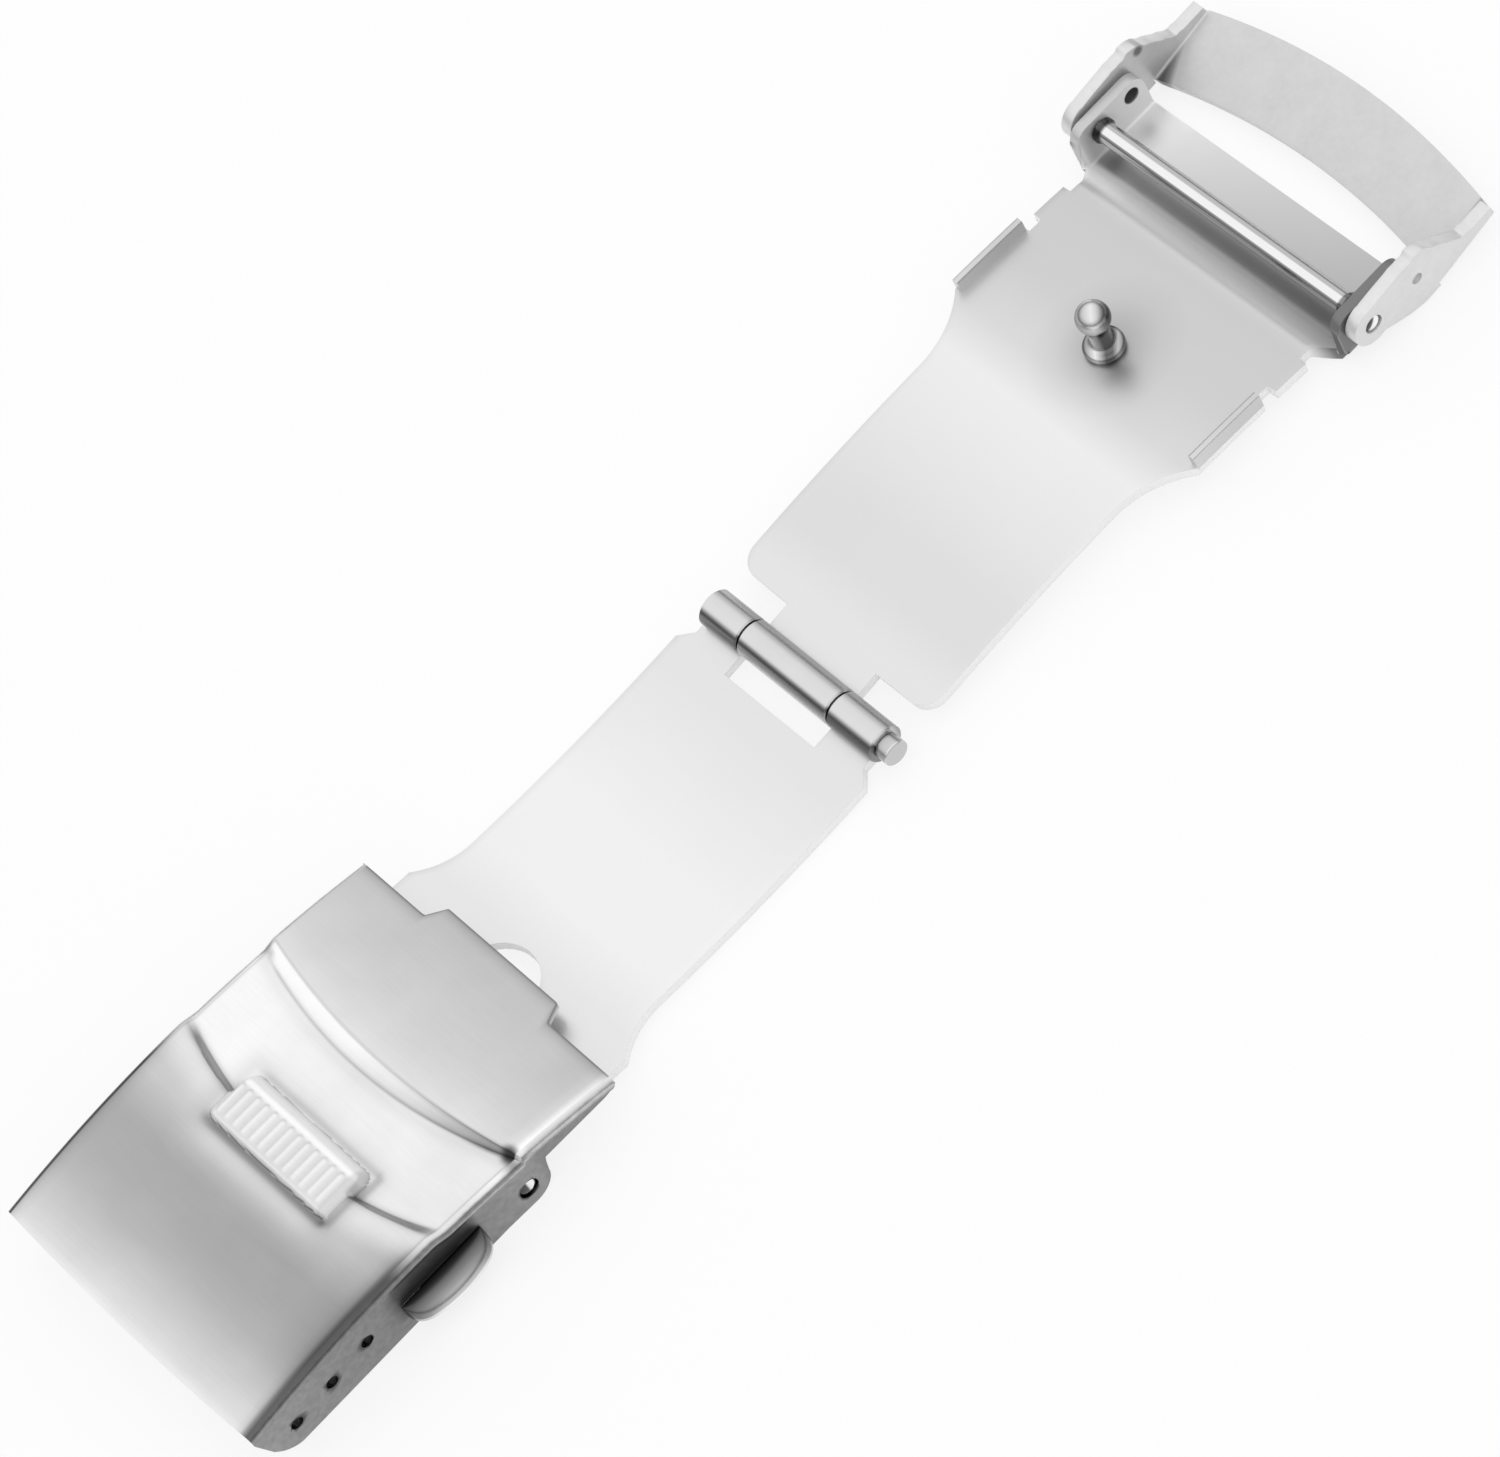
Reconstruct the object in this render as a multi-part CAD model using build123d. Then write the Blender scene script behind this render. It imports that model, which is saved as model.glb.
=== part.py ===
from build123d import *
import os
from math import asin, atan2, cos, degrees, hypot, radians, sin, sqrt

# Deployant clasp for an 18 mm bracelet, in millimetres, lying open.
# X runs along the clasp from the cover to the flip lock, Y across it, Z up.
# While it is modelled, x is counted from the cover hinge and z from the table.

overrun = 1.0
cut_reach = 40.0

# Cover: a pressed sheet with a curved top and two side walls
cover_width = 20.0
cover_sheet = 0.7
cover_radius = 60.7
cover_peak_x = -8.5
cover_peak_z = 5.0
cover_end_x = -18.7
cover_tongue_x = 6.7
tongue_tab_length = 1.1
tongue_tab_root = 4.9
tongue_tab_tip = 4.3

# Cover walls, seen from the side
wall_end_x = -18.2
wall_end_z = 1.45
wall_corner_x = -16.8
wall_corner_z = 0.2
wall_bottom_x = -2.0
wall_bottom_z = 0.15
wall_lobe_radius = 1.4
wall_notch_x = 1.6
wall_notch_z = 2.45
flange_end_z = 2.3

# Recessed seat for the band, between two arcs across the cover
seat_depth = 0.55
seat_step_x = 0.45
seat_step_bulge = 0.95
seat_crease_x = -5.2
seat_crease_bulge = 1.5
seat_slope_run = 0.7

# Ribbed pad
pad_front_x = -6.2
pad_back_x = -8.1
pad_half_width = 4.35
pad_height = 0.3
pad_bevel = 0.4
pad_corner = 0.4
rib_count = 15
rib_width = 0.3
rib_height = 0.15
rib_margin = 0.3

# Bracelet spring bar holes in the cover walls
bar_hole_diameter = 1.0
bar_hole_first_x = -16.4
bar_hole_first_z = 1.8
bar_hole_step_x = 2.65
bar_hole_step_z = 0.3
bar_hole_count = 3

# Cover hinge
hinge_z = 1.4
hinge_pin_diameter = 1.2
hinge_wall_clearance = 0.05
hinge_bore_clearance = 0.04
hinge_barrel_diameter = 2.2

# Middle hinge
middle_x = 28.8
middle_z = 1.5
middle_barrel_diameter = 2.2
middle_pin_diameter = 1.2
middle_bore_clearance = 0.04
middle_centre_length = 7.0
middle_outer_length = 3.0
knuckle_gap = 0.05
middle_head_diameter = 1.5
middle_head_height = 0.7
middle_head_round_share = 0.8

# Blades
blade_sheet = 0.6
blade_half_width = 7.3

# Blade 1
blade1_radius = 101.0
blade1_side_gap = 0.7
blade1_wide_x = 8.0
blade1_narrow_x = 11.4
blade1_window_depth = 1.2
blade1_hole_radius = 2.3
blade1_hole_x = 6.7
blade1_hole_start = 5.0
blade1_prong_corner = 0.8

# Blade 2, with distances counted from the middle hinge
blade2_radius = 119.0
blade2_rise = 0.4
blade2_tongue_half = 3.4
blade2_shoulder = 2.6
blade2_corner = 1.3
blade2_flare_start = 16.5
blade2_flare_end = 21.0
blade2_side_gap = 0.2
blade2_tab_start = 21.1
blade2_tab_length = 4.8
blade2_tab_thick = 0.4
blade2_tab_height = 0.9
blade2_notch_length = 0.9
blade2_notch_depth = 0.6
blade2_edge_length = 2.2
blade2_neck_length = 0.8
blade2_neck_depth = 0.5
blade2_joggle_start = 29.4
blade2_joggle_end = 30.5

# Ears at the end of blade 2 and the lock bar through them
bar_distance = 32.5
bar_z = 2.45
ear_overhang = 0.05
ear_thick = 0.7
ear_front = 1.6
ear_back = 3.4
ear_top = 0.95
ear_corner = 0.9
ear_hole_diameter = 1.0
ear_bracelet_offset = 2.4
tube_diameter = 1.3
tube_bore = 1.02
tube_flange_diameter = 1.9
tube_flange_width = 0.5
tube_end_gap = 0.1
tip_diameter = 0.94
tip_inner_length = 3.0
tip_shoulder_gap = 0.04
spring_bar_spring_diameter = 0.94
spring_bar_spring_bore = 0.5
spring_bar_spring_gap = 0.0

# Peg on blade 2
peg_distance = 23.3
peg_flange_diameter = 2.2
peg_flange_height = 0.4
peg_neck_diameter = 1.25
peg_ball_diameter = 1.95
peg_ball_low = 2.5
peg_top = 3.8
peg_crown_radius = 0.5
peg_ball_widest_share = 0.8

# Catch under the cover
catch_x = -5.33
catch_floor_z = 1.1
catch_floor_thick = 0.3
catch_half_length = 3.7
catch_hole_radius = 1.5
catch_clearance = 0.05
slider_thick = 0.5
slider_half_length = 2.0
slider_body_start = 4.05
slider_arm_inner = 1.15
hook_edge = 0.72
hook_outer = 2.3
hook_side = 1.05
head_shift = -0.6
head_half_length = 2.8
head_low = 1.1
head_high = 2.3
head_start = 10.5
head_side = 10.8
head_outer = 11.35
spring_offset = 3.1
spring_diameter = 1.1
spring_wire_bore = 0.6
spring_inner = 2.0
spring_outer = 5.5
stop_thick = 0.6
stop_half_length = 0.6
stop_height = 1.2
keeper_start = 7.0
keeper_end = 8.2
keeper_thick = 0.35
keeper_lip = 0.3

# Flip lock, in its own u and v: u from the lock bar along the band, v towards the band
lock_side_gap = 0.15
lock_arm_thick = 0.8
lock_band_inner_v = 2.6
lock_band_thick = 0.7
lock_band_start_u = 3.85
lock_band_end_u = 8.4
lock_inner_bulge = 1.3
lock_outer_bulge = 1.4
lock_rest_heading = 12.0
lock_hole_diameter = 1.04
lock_pivot_radius = 1.3
lock_free_v = -1.1
lock_knee_u = 4.7
lock_knee_v = -0.8
lock_back_points = ((0.9, 1.8), (1.8, 2.4), (2.7, 2.8))
lock_free_points = ((6.7, 2.0), (5.6, 1.1))
lock_corner_v = 2.3
lock_dimple_u = 3.2
lock_dimple_v = 0.63
lock_dimple_radius = 0.35
lock_dimple_depth = 0.25

cover_half = cover_width / 2
wall_inner = cover_half - cover_sheet
bar_x = middle_x + bar_distance
blade1_wide_half = wall_inner - blade1_side_gap
blade2_wide_half = wall_inner - blade2_side_gap
ear_outer = cover_half + ear_overhang
blade2_tab_end = blade2_tab_start + blade2_tab_length
blade2_notch_end = blade2_tab_end + blade2_notch_length
blade2_edge_end = blade2_notch_end + blade2_edge_length
blade2_neck_end = blade2_edge_end + blade2_neck_length
lock_outer_half = ear_outer + lock_side_gap + lock_arm_thick
cover_centre_z = cover_peak_z - cover_radius


def side_solid(face, low_y, high_y):
    """A face drawn in x and z, stretched from low_y to high_y."""
    return Pos(0, high_y, 0) * extrude(Plane.XZ * face, amount=high_y - low_y)


def plan_solid(face, low_z, high_z):
    """A face drawn in x and y, stretched from low_z to high_z."""
    return Pos(0, 0, low_z) * extrude(face, amount=high_z - low_z)


def block(low_x, high_x, low_y, high_y, low_z, high_z):
    size = (high_x - low_x, high_y - low_y, high_z - low_z)
    return Pos((low_x + high_x) / 2, (low_y + high_y) / 2, (low_z + high_z) / 2) * Box(*size)


def cross_cylinder(x, z, diameter, low_y, high_y):
    """A cylinder along Y."""
    return Pos(x, (low_y + high_y) / 2, z) * Rot(90, 0, 0) * Cylinder(diameter / 2, high_y - low_y)


def cover_z(x, drop):
    """Height of the cover's arc at x, at a depth of drop below its outer face."""
    return cover_centre_z + sqrt((cover_radius - drop) ** 2 - (x - cover_peak_x) ** 2)


def cover_arc(start_x, end_x, drop):
    middle = (start_x + end_x) / 2
    points = [(x, cover_z(x, drop)) for x in (start_x, middle, end_x)]
    return ThreePointArc(*points)


def strip_frame(start, end, radius, side):
    """Centre and end angles of an arc from start to end; side is 1 when it is convex upwards."""
    chord = hypot(end[0] - start[0], end[1] - start[1])
    rise = sqrt(radius ** 2 - (chord / 2) ** 2)
    normal = ((end[1] - start[1]) / chord, -(end[0] - start[0]) / chord)
    centre = ((start[0] + end[0]) / 2 + side * normal[0] * rise, (start[1] + end[1]) / 2 + side * normal[1] * rise)
    angles = [atan2(point[1] - centre[1], point[0] - centre[0]) for point in (start, end)]
    return centre, angles


def strip_point(centre, radius, angle):
    return (centre[0] + radius * cos(angle), centre[1] + radius * sin(angle))


def strip_face(start, end, radius, side, thick):
    """Side view of a curved sheet whose middle line is an arc."""
    centre, angles = strip_frame(start, end, radius, side)
    middle = (angles[0] + angles[1]) / 2
    arcs = []
    for reach in (radius + thick / 2, radius - thick / 2):
        arcs.append([strip_point(centre, reach, angle) for angle in (angles[0], middle, angles[1])])
    edges = [ThreePointArc(*arcs[0]), Line(arcs[0][2], arcs[1][2])]
    edges += [ThreePointArc(*reversed(arcs[1])), Line(arcs[1][0], arcs[0][0])]
    return make_face(edges)


def mirrored_plan(edges):
    """A plan face from edges on the +Y side, whose two ends lie on the X axis."""
    other = [mirror(edge, about=Plane.XZ) for edge in edges]
    return make_face(list(edges) + other)


def across_region(low_x, low_bulge, high_x, high_bulge, half):
    """Plan region between two arcs across the cover, both bulging towards -X."""
    low = [(low_x, -half), (low_x - low_bulge, 0), (low_x, half)]
    high = [(high_x, half), (high_x - high_bulge, 0), (high_x, -half)]
    return make_face([ThreePointArc(*low), Line(low[2], high[0]), ThreePointArc(*high), Line(high[2], low[0])])


def cover_wall_face():
    lobe_turn = radians(45)
    lobe_side = (wall_lobe_radius * cos(lobe_turn), hinge_z - wall_lobe_radius * sin(lobe_turn))
    corner_middle = (wall_end_x + (wall_corner_x - wall_end_x) * 0.25, wall_corner_z + (wall_end_z - wall_corner_z) * 0.3)
    tip_x = cover_tongue_x + tongue_tab_length
    edges = [
        cover_arc(cover_end_x, tip_x, 0),
        Line((tip_x, cover_z(tip_x, 0)), (tip_x, cover_z(tip_x, cover_sheet))),
        Line((tip_x, cover_z(tip_x, cover_sheet)), (cover_tongue_x, flange_end_z)),
        Line((cover_tongue_x, flange_end_z), (wall_notch_x, wall_notch_z)),
        Line((wall_notch_x, wall_notch_z), (wall_lobe_radius, hinge_z)),
        ThreePointArc((wall_lobe_radius, hinge_z), lobe_side, (0, hinge_z - wall_lobe_radius)),
        Line((0, hinge_z - wall_lobe_radius), (wall_bottom_x, wall_bottom_z)),
        Line((wall_bottom_x, wall_bottom_z), (wall_corner_x, wall_corner_z)),
        ThreePointArc((wall_corner_x, wall_corner_z), corner_middle, (wall_end_x, wall_end_z)),
        Line((wall_end_x, wall_end_z), (cover_end_x, cover_z(cover_end_x, 0))),
    ]
    return make_face(edges)


def cover_plan():
    tip_x = cover_tongue_x + tongue_tab_length
    points = [(cover_end_x - overrun, 0), (cover_end_x - overrun, cover_half), (cover_tongue_x, cover_half)]
    points += [(cover_tongue_x, tongue_tab_root), (tip_x, tongue_tab_tip), (tip_x, 0)]
    lower = [(x, -y) for x, y in reversed(points[1:-1])]
    return make_face(Polyline(*points, *lower, close=True))


def under_cover(drop, low_x, high_x):
    """The space under the cover's arc at a given depth, between the walls."""
    edges = [cover_arc(low_x, high_x, drop)]
    corners = [(high_x, cover_z(high_x, drop)), (high_x, -overrun), (low_x, -overrun), (low_x, cover_z(low_x, drop))]
    edges += [Line(corners[i], corners[i + 1]) for i in range(len(corners) - 1)]
    return side_solid(make_face(edges), -wall_inner, wall_inner)


def ribbed_pad():
    """The pad's body with a sloping front, and ribs across it."""
    foot_z = cover_z(pad_front_x, seat_depth + cover_sheet / 2)
    top_z = cover_z(pad_front_x, 0) + pad_height
    points = [(pad_front_x, foot_z), (pad_front_x, cover_z(pad_front_x, seat_depth))]
    points += [(pad_front_x - pad_bevel, top_z), (pad_back_x, cover_z(pad_back_x, 0) + pad_height), (pad_back_x, foot_z)]
    pad = side_solid(make_face(Polyline(*points, close=True)), -pad_half_width, pad_half_width)
    pad = fillet(pad.edges().filter_by(Axis.Z), pad_corner)
    pitch = 2 * (pad_half_width - rib_margin) / rib_count
    rib_top = cover_z(pad_back_x, 0) + pad_height + rib_height
    ribs = []
    for index in range(rib_count):
        y = -pad_half_width + rib_margin + (index + 0.5) * pitch
        low, high = y - rib_width / 2, y + rib_width / 2
        ribs.append(block(pad_back_x + rib_margin, pad_front_x - pad_bevel, low, high, foot_z, rib_top))
    return pad + ribs


def sloped_seat(half):
    """The seat's opening: its step leans over seat_slope_run, its crease is upright."""
    top_z = cover_z(seat_step_x, 0)
    floor_z = cover_z(seat_step_x, seat_depth)
    grade = seat_slope_run / (top_z - floor_z)
    sections = []
    for z in (floor_z - overrun, cover_peak_z + overrun):
        step_x = seat_step_x + grade * (z - floor_z)
        region = across_region(seat_crease_x, seat_crease_bulge, step_x, seat_step_bulge, half)
        sections.append(Pos(0, 0, z) * region)
    return loft(sections, ruled=True)


def bar_hole_places():
    return [(bar_hole_first_x + i * bar_hole_step_x, bar_hole_first_z + i * bar_hole_step_z) for i in range(bar_hole_count)]


def make_cover_shell():
    tip_x = cover_tongue_x + tongue_tab_length
    shell = side_solid(cover_wall_face(), -cover_half, cover_half) & plan_solid(cover_plan(), -overrun, cover_peak_z + overrun)
    wide = cover_half + overrun
    grown = across_region(seat_crease_x - seat_slope_run - cover_sheet / 2, seat_crease_bulge,
                          seat_step_x + seat_slope_run + cover_sheet / 2, seat_step_bulge, wide)
    space = under_cover(cover_sheet, cover_end_x - overrun, tip_x + overrun)
    space -= plan_solid(grown, cover_z(cover_end_x, seat_depth + cover_sheet) - overrun, cover_peak_z + overrun)
    shell -= space
    shell -= under_cover(seat_depth + cover_sheet, cover_end_x - overrun, tip_x + overrun)
    seat_cut = sloped_seat(wide)
    floor = side_solid(make_face([
        cover_arc(cover_end_x, tip_x, seat_depth),
        Line((tip_x, cover_z(tip_x, seat_depth)), (tip_x, -overrun)),
        Line((tip_x, -overrun), (cover_end_x, -overrun)),
        Line((cover_end_x, -overrun), (cover_end_x, cover_z(cover_end_x, seat_depth))),
    ]), -wide - overrun, wide + overrun)
    shell -= seat_cut - floor
    shell += ribbed_pad()
    for x, z in bar_hole_places():
        shell -= cross_cylinder(x, z, bar_hole_diameter, -cover_half - overrun, cover_half + overrun)
    hinge_hole = hinge_pin_diameter + 2 * hinge_wall_clearance
    shell -= cross_cylinder(0, hinge_z, hinge_hole, -cover_half - overrun, cover_half + overrun)
    slot_low = catch_floor_z + catch_floor_thick
    slot_high = slot_low + slider_thick + 2 * catch_clearance
    slot_half = slider_half_length + catch_clearance
    shell -= block(catch_x - slot_half, catch_x + slot_half, -cover_half - overrun, cover_half + overrun, slot_low, slot_high)
    return shell


def make_catch_frame():
    """Plate from wall to wall with the peg's hole, the spring stops and the sliders' keepers."""
    top = catch_floor_z + catch_floor_thick
    frame = block(catch_x - catch_half_length, catch_x + catch_half_length, -wall_inner, wall_inner, catch_floor_z, top)
    frame -= Pos(catch_x, 0, catch_floor_z) * Cylinder(catch_hole_radius, cut_reach)
    keeper_z = top + slider_thick + 2 * catch_clearance
    keeper_x = slider_half_length + catch_clearance
    for side in (1, -1):
        stop_x = catch_x - side * spring_offset
        stop_y = sorted((side * spring_inner, side * (spring_inner - stop_thick)))
        frame += block(stop_x - stop_half_length, stop_x + stop_half_length, *stop_y, top, top + stop_height)
        keeper_y = sorted((side * keeper_start, side * keeper_end))
        for end in (1, -1):
            post = sorted((catch_x + end * keeper_x, catch_x + end * (keeper_x + keeper_thick)))
            lip = sorted((catch_x + end * (keeper_x - keeper_lip), catch_x + end * (keeper_x + keeper_thick)))
            frame += block(*post, *keeper_y, top, keeper_z + keeper_thick)
            frame += block(*lip, *keeper_y, keeper_z, keeper_z + keeper_thick)
    return frame


def make_push_button(head_offset):
    """The button on the +Y side: slider, arm past the peg, hook behind it, spring lug and head."""
    low = catch_floor_z + catch_floor_thick + catch_clearance
    high = low + slider_thick
    left, right = catch_x - slider_half_length, catch_x + slider_half_length
    button = block(left, right, slider_body_start, head_start, low, high)
    button += block(catch_x + slider_arm_inner, right, -hook_outer, slider_body_start, low, high)
    button += block(catch_x - hook_side, right, -hook_outer, -hook_edge, low, high)
    lug_x = catch_x - spring_offset
    button += block(lug_x - stop_half_length, left, spring_outer, spring_outer + stop_thick, low, low + stop_height)
    head_x = catch_x + head_offset
    head_left, head_right = head_x - head_half_length, head_x + head_half_length
    head = make_face([
        Line((head_left, head_start), (head_right, head_start)),
        Line((head_right, head_start), (head_right, head_side)),
        ThreePointArc((head_right, head_side), (head_x, head_outer), (head_left, head_side)),
        Line((head_left, head_side), (head_left, head_start)),
    ])
    return button + plan_solid(head, head_low, head_high)


def other_side(shape):
    """The same piece for the -Y side, turned half round the peg's axis."""
    return Pos(catch_x, 0, 0) * Rot(0, 0, 180) * Pos(-catch_x, 0, 0) * shape


def make_button_spring():
    z = catch_floor_z + catch_floor_thick + stop_height / 2
    x = catch_x - spring_offset
    coil = cross_cylinder(x, z, spring_diameter, spring_inner, spring_outer)
    return coil - cross_cylinder(x, z, spring_wire_bore, spring_inner - overrun, spring_outer + overrun)


def blade1_ends():
    """Ends of blade 1's middle line: the top of the first barrel and the bottom of the second."""
    first = (0, hinge_z + (hinge_barrel_diameter - blade_sheet) / 2)
    last = (middle_x, middle_z - (middle_barrel_diameter - blade_sheet) / 2)
    return first, last


def blade2_height(distance):
    """Height of blade 2's middle line at a distance from the middle hinge."""
    centre = strip_frame(*blade2_ends(), blade2_radius, 1)[0]
    return centre[1] + sqrt(blade2_radius ** 2 - (middle_x + distance - centre[0]) ** 2)


def blade2_ends():
    start = (middle_x, middle_z - (middle_barrel_diameter - blade_sheet) / 2)
    end = (middle_x + blade2_joggle_start, start[1] + blade2_rise)
    return start, end


def make_blade_1():
    ends = blade1_ends()
    sheet = side_solid(strip_face(*ends, blade1_radius, -1, blade_sheet), -blade1_wide_half, blade1_wide_half)
    flare_run = blade1_narrow_x - blade1_wide_x
    flare_rise = blade1_wide_half - blade_half_width
    flare_radius = (flare_run ** 2 + flare_rise ** 2) / (2 * flare_rise)
    flare_turn = asin(flare_run / flare_radius) / 2
    flare_middle = (blade1_narrow_x - flare_radius * sin(flare_turn),
                    blade_half_width + flare_radius * (1 - cos(flare_turn)))
    outer_half = middle_centre_length / 2 + middle_outer_length
    prong_x = middle_x - middle_barrel_diameter / 2 - blade1_window_depth
    edges = [
        Line((-overrun, 0), (-overrun, blade1_wide_half)),
        Line((-overrun, blade1_wide_half), (blade1_wide_x, blade1_wide_half)),
        ThreePointArc((blade1_wide_x, blade1_wide_half), flare_middle, (blade1_narrow_x, blade_half_width)),
        Line((blade1_narrow_x, blade_half_width), (prong_x, blade_half_width)),
        Line((prong_x, blade_half_width), (prong_x + blade1_prong_corner, outer_half)),
        Line((prong_x + blade1_prong_corner, outer_half), (middle_x + overrun, outer_half)),
        Line((middle_x + overrun, outer_half), (middle_x + overrun, 0)),
    ]
    blade = sheet & plan_solid(mirrored_plan(edges), -overrun, cover_peak_z)
    half = middle_centre_length / 2
    blade -= block(prong_x, middle_x + middle_barrel_diameter, -half, half, -overrun, cover_peak_z)
    for x in (blade1_hole_start, blade1_hole_x):
        blade -= Pos(x, 0, 0) * Cylinder(blade1_hole_radius, cut_reach)
    blade -= block(blade1_hole_start, blade1_hole_x, -blade1_hole_radius, blade1_hole_radius, -overrun, cover_peak_z)
    blade += cross_cylinder(0, hinge_z, hinge_barrel_diameter, -blade1_wide_half, blade1_wide_half)
    for side in (1, -1):
        low, high = sorted((side * half, side * outer_half))
        blade += cross_cylinder(middle_x, middle_z, middle_barrel_diameter, low, high)
    blade -= cross_cylinder(0, hinge_z, hinge_pin_diameter + 2 * hinge_bore_clearance, -cover_half, cover_half)
    middle_bore = middle_pin_diameter + 2 * middle_bore_clearance
    return blade - cross_cylinder(middle_x, middle_z, middle_bore, -cover_half, cover_half)


def make_blade_2():
    start, end = blade2_ends()
    sheet = strip_face(start, end, blade2_radius, 1, blade_sheet)
    body = side_solid(sheet, -ear_outer, ear_outer)
    half = blade_sheet / 2
    joggle = [(end[0] - overrun, blade2_height(blade2_joggle_start - overrun) - half)]
    joggle += [(end[0], end[1] - half), (middle_x + blade2_joggle_end, 0), (bar_x + ear_back, 0)]
    joggle += [(bar_x + ear_back, blade_sheet), (middle_x + blade2_joggle_end + half, blade_sheet)]
    joggle += [(end[0] + half, end[1] + half), (end[0] - overrun, blade2_height(blade2_joggle_start - overrun) + half)]
    body += side_solid(make_face(Polyline(*joggle, close=True)), -ear_outer, ear_outer)
    run = blade2_flare_end - blade2_flare_start
    rise = blade2_wide_half - blade_half_width
    radius = (run ** 2 + rise ** 2) / (2 * rise)
    turn = asin(run / radius) / 2
    places = {
        "tongue": (middle_x + blade2_shoulder, blade2_tongue_half),
        "corner_low": (middle_x + blade2_shoulder, blade_half_width - blade2_corner),
        "corner_middle": (middle_x + blade2_shoulder + blade2_corner * (1 - cos(radians(45))),
                          blade_half_width - blade2_corner * (1 - sin(radians(45)))),
        "corner_high": (middle_x + blade2_shoulder + blade2_corner, blade_half_width),
        "flare_start": (middle_x + blade2_flare_start, blade_half_width),
        "flare_middle": (middle_x + blade2_flare_start + radius * sin(turn), blade_half_width + radius * (1 - cos(turn))),
        "flare_end": (middle_x + blade2_flare_end, blade2_wide_half),
    }
    notch = blade2_wide_half - blade2_notch_depth
    neck = blade2_wide_half - blade2_neck_depth
    rim = [places["flare_end"], (middle_x + blade2_tab_end, blade2_wide_half), (middle_x + blade2_tab_end, notch)]
    rim += [(middle_x + blade2_notch_end, notch), (middle_x + blade2_notch_end, blade2_wide_half)]
    rim += [(middle_x + blade2_edge_end, blade2_wide_half), (middle_x + blade2_edge_end, neck)]
    rim += [(middle_x + blade2_neck_end, neck), (bar_x - ear_front, ear_outer), (bar_x + ear_back, ear_outer)]
    rim += [(bar_x + ear_back, 0)]
    edges = [
        Line((middle_x, 0), (middle_x, blade2_tongue_half)),
        Line((middle_x, blade2_tongue_half), places["tongue"]),
        Line(places["tongue"], places["corner_low"]),
        ThreePointArc(places["corner_low"], places["corner_middle"], places["corner_high"]),
        Line(places["corner_high"], places["flare_start"]),
        ThreePointArc(places["flare_start"], places["flare_middle"], places["flare_end"]),
        Polyline(*rim),
    ]
    blade = body & plan_solid(mirrored_plan(edges), -overrun, cover_peak_z)
    length = middle_centre_length / 2 - knuckle_gap
    blade += cross_cylinder(middle_x, middle_z, middle_barrel_diameter, -length, length)
    middle_bore = middle_pin_diameter + 2 * middle_bore_clearance
    blade -= cross_cylinder(middle_x, middle_z, middle_bore, -cover_half, cover_half)
    for side in (1, -1):
        tab_y = sorted((side * blade2_wide_half, side * (blade2_wide_half - blade2_tab_thick)))
        tab_x = (middle_x + blade2_tab_start, middle_x + blade2_tab_end)
        tab_z = blade2_height((blade2_tab_start + blade2_tab_end) / 2)
        blade += block(*tab_x, *tab_y, tab_z, tab_z + half + blade2_tab_height)
        blade += ear(side)
    blade -= cross_cylinder(bar_x, bar_z, ear_hole_diameter, -ear_outer - overrun, ear_outer + overrun)
    bracelet_x = bar_x + ear_bracelet_offset
    return blade - cross_cylinder(bracelet_x, bar_z, ear_hole_diameter, -ear_outer - overrun, ear_outer + overrun)


def ear(side):
    """One upturned ear with rounded upper corners."""
    low, high = sorted((side * ear_outer, side * (ear_outer - ear_thick)))
    shape = block(bar_x - ear_front, bar_x + ear_back, low, high, 0, bar_z + ear_top)
    return fillet(shape.edges().filter_by(Axis.Y).sort_by(Axis.Z)[-2:], ear_corner)


def make_catch_peg():
    """Peg riveted square to blade 2: flange, neck and a ball head with a flattened crown."""
    ball = peg_ball_diameter / 2
    neck = peg_neck_diameter / 2
    flange = peg_flange_diameter / 2
    ball_middle = peg_ball_low + ball * peg_ball_widest_share
    outline = [
        Line((0, 0), (flange, 0)),
        Line((flange, 0), (flange, peg_flange_height)),
        Line((flange, peg_flange_height), (neck, peg_flange_height)),
        Line((neck, peg_flange_height), (neck, peg_ball_low)),
        ThreePointArc((neck, peg_ball_low), (ball, ball_middle), (peg_crown_radius, peg_top)),
        Line((peg_crown_radius, peg_top), (0, peg_top)),
        Line((0, peg_top), (0, 0)),
    ]
    peg = revolve(Plane.XZ * make_face(outline), Axis.Z)
    centre = strip_frame(*blade2_ends(), blade2_radius, 1)[0]
    lean = asin((middle_x + peg_distance - centre[0]) / blade2_radius)
    base = strip_point(centre, blade2_radius + blade_sheet / 2, radians(90) - lean)
    return Pos(base[0], 0, base[1]) * Rot(0, degrees(lean), 0) * peg


def make_lock_bar_tube():
    end = ear_outer - ear_thick - tube_end_gap
    tube = cross_cylinder(bar_x, bar_z, tube_diameter, -end, end)
    for side in (1, -1):
        low, high = sorted((side * end, side * (end - tube_flange_width)))
        tube += cross_cylinder(bar_x, bar_z, tube_flange_diameter, low, high)
    return tube - cross_cylinder(bar_x, bar_z, tube_bore, -end - overrun, end + overrun)


def make_lock_bar_tip(side):
    inner = ear_outer - ear_thick - tip_inner_length
    low, high = sorted((side * inner, side * lock_outer_half))
    return cross_cylinder(bar_x, bar_z, tip_diameter, low, high)


def make_lock_bar_spring():
    end = ear_outer - ear_thick - tip_inner_length - spring_bar_spring_gap
    coil = cross_cylinder(bar_x, bar_z, spring_bar_spring_diameter, -end, end)
    return coil - cross_cylinder(bar_x, bar_z, spring_bar_spring_bore, -end - overrun, end + overrun)


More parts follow.
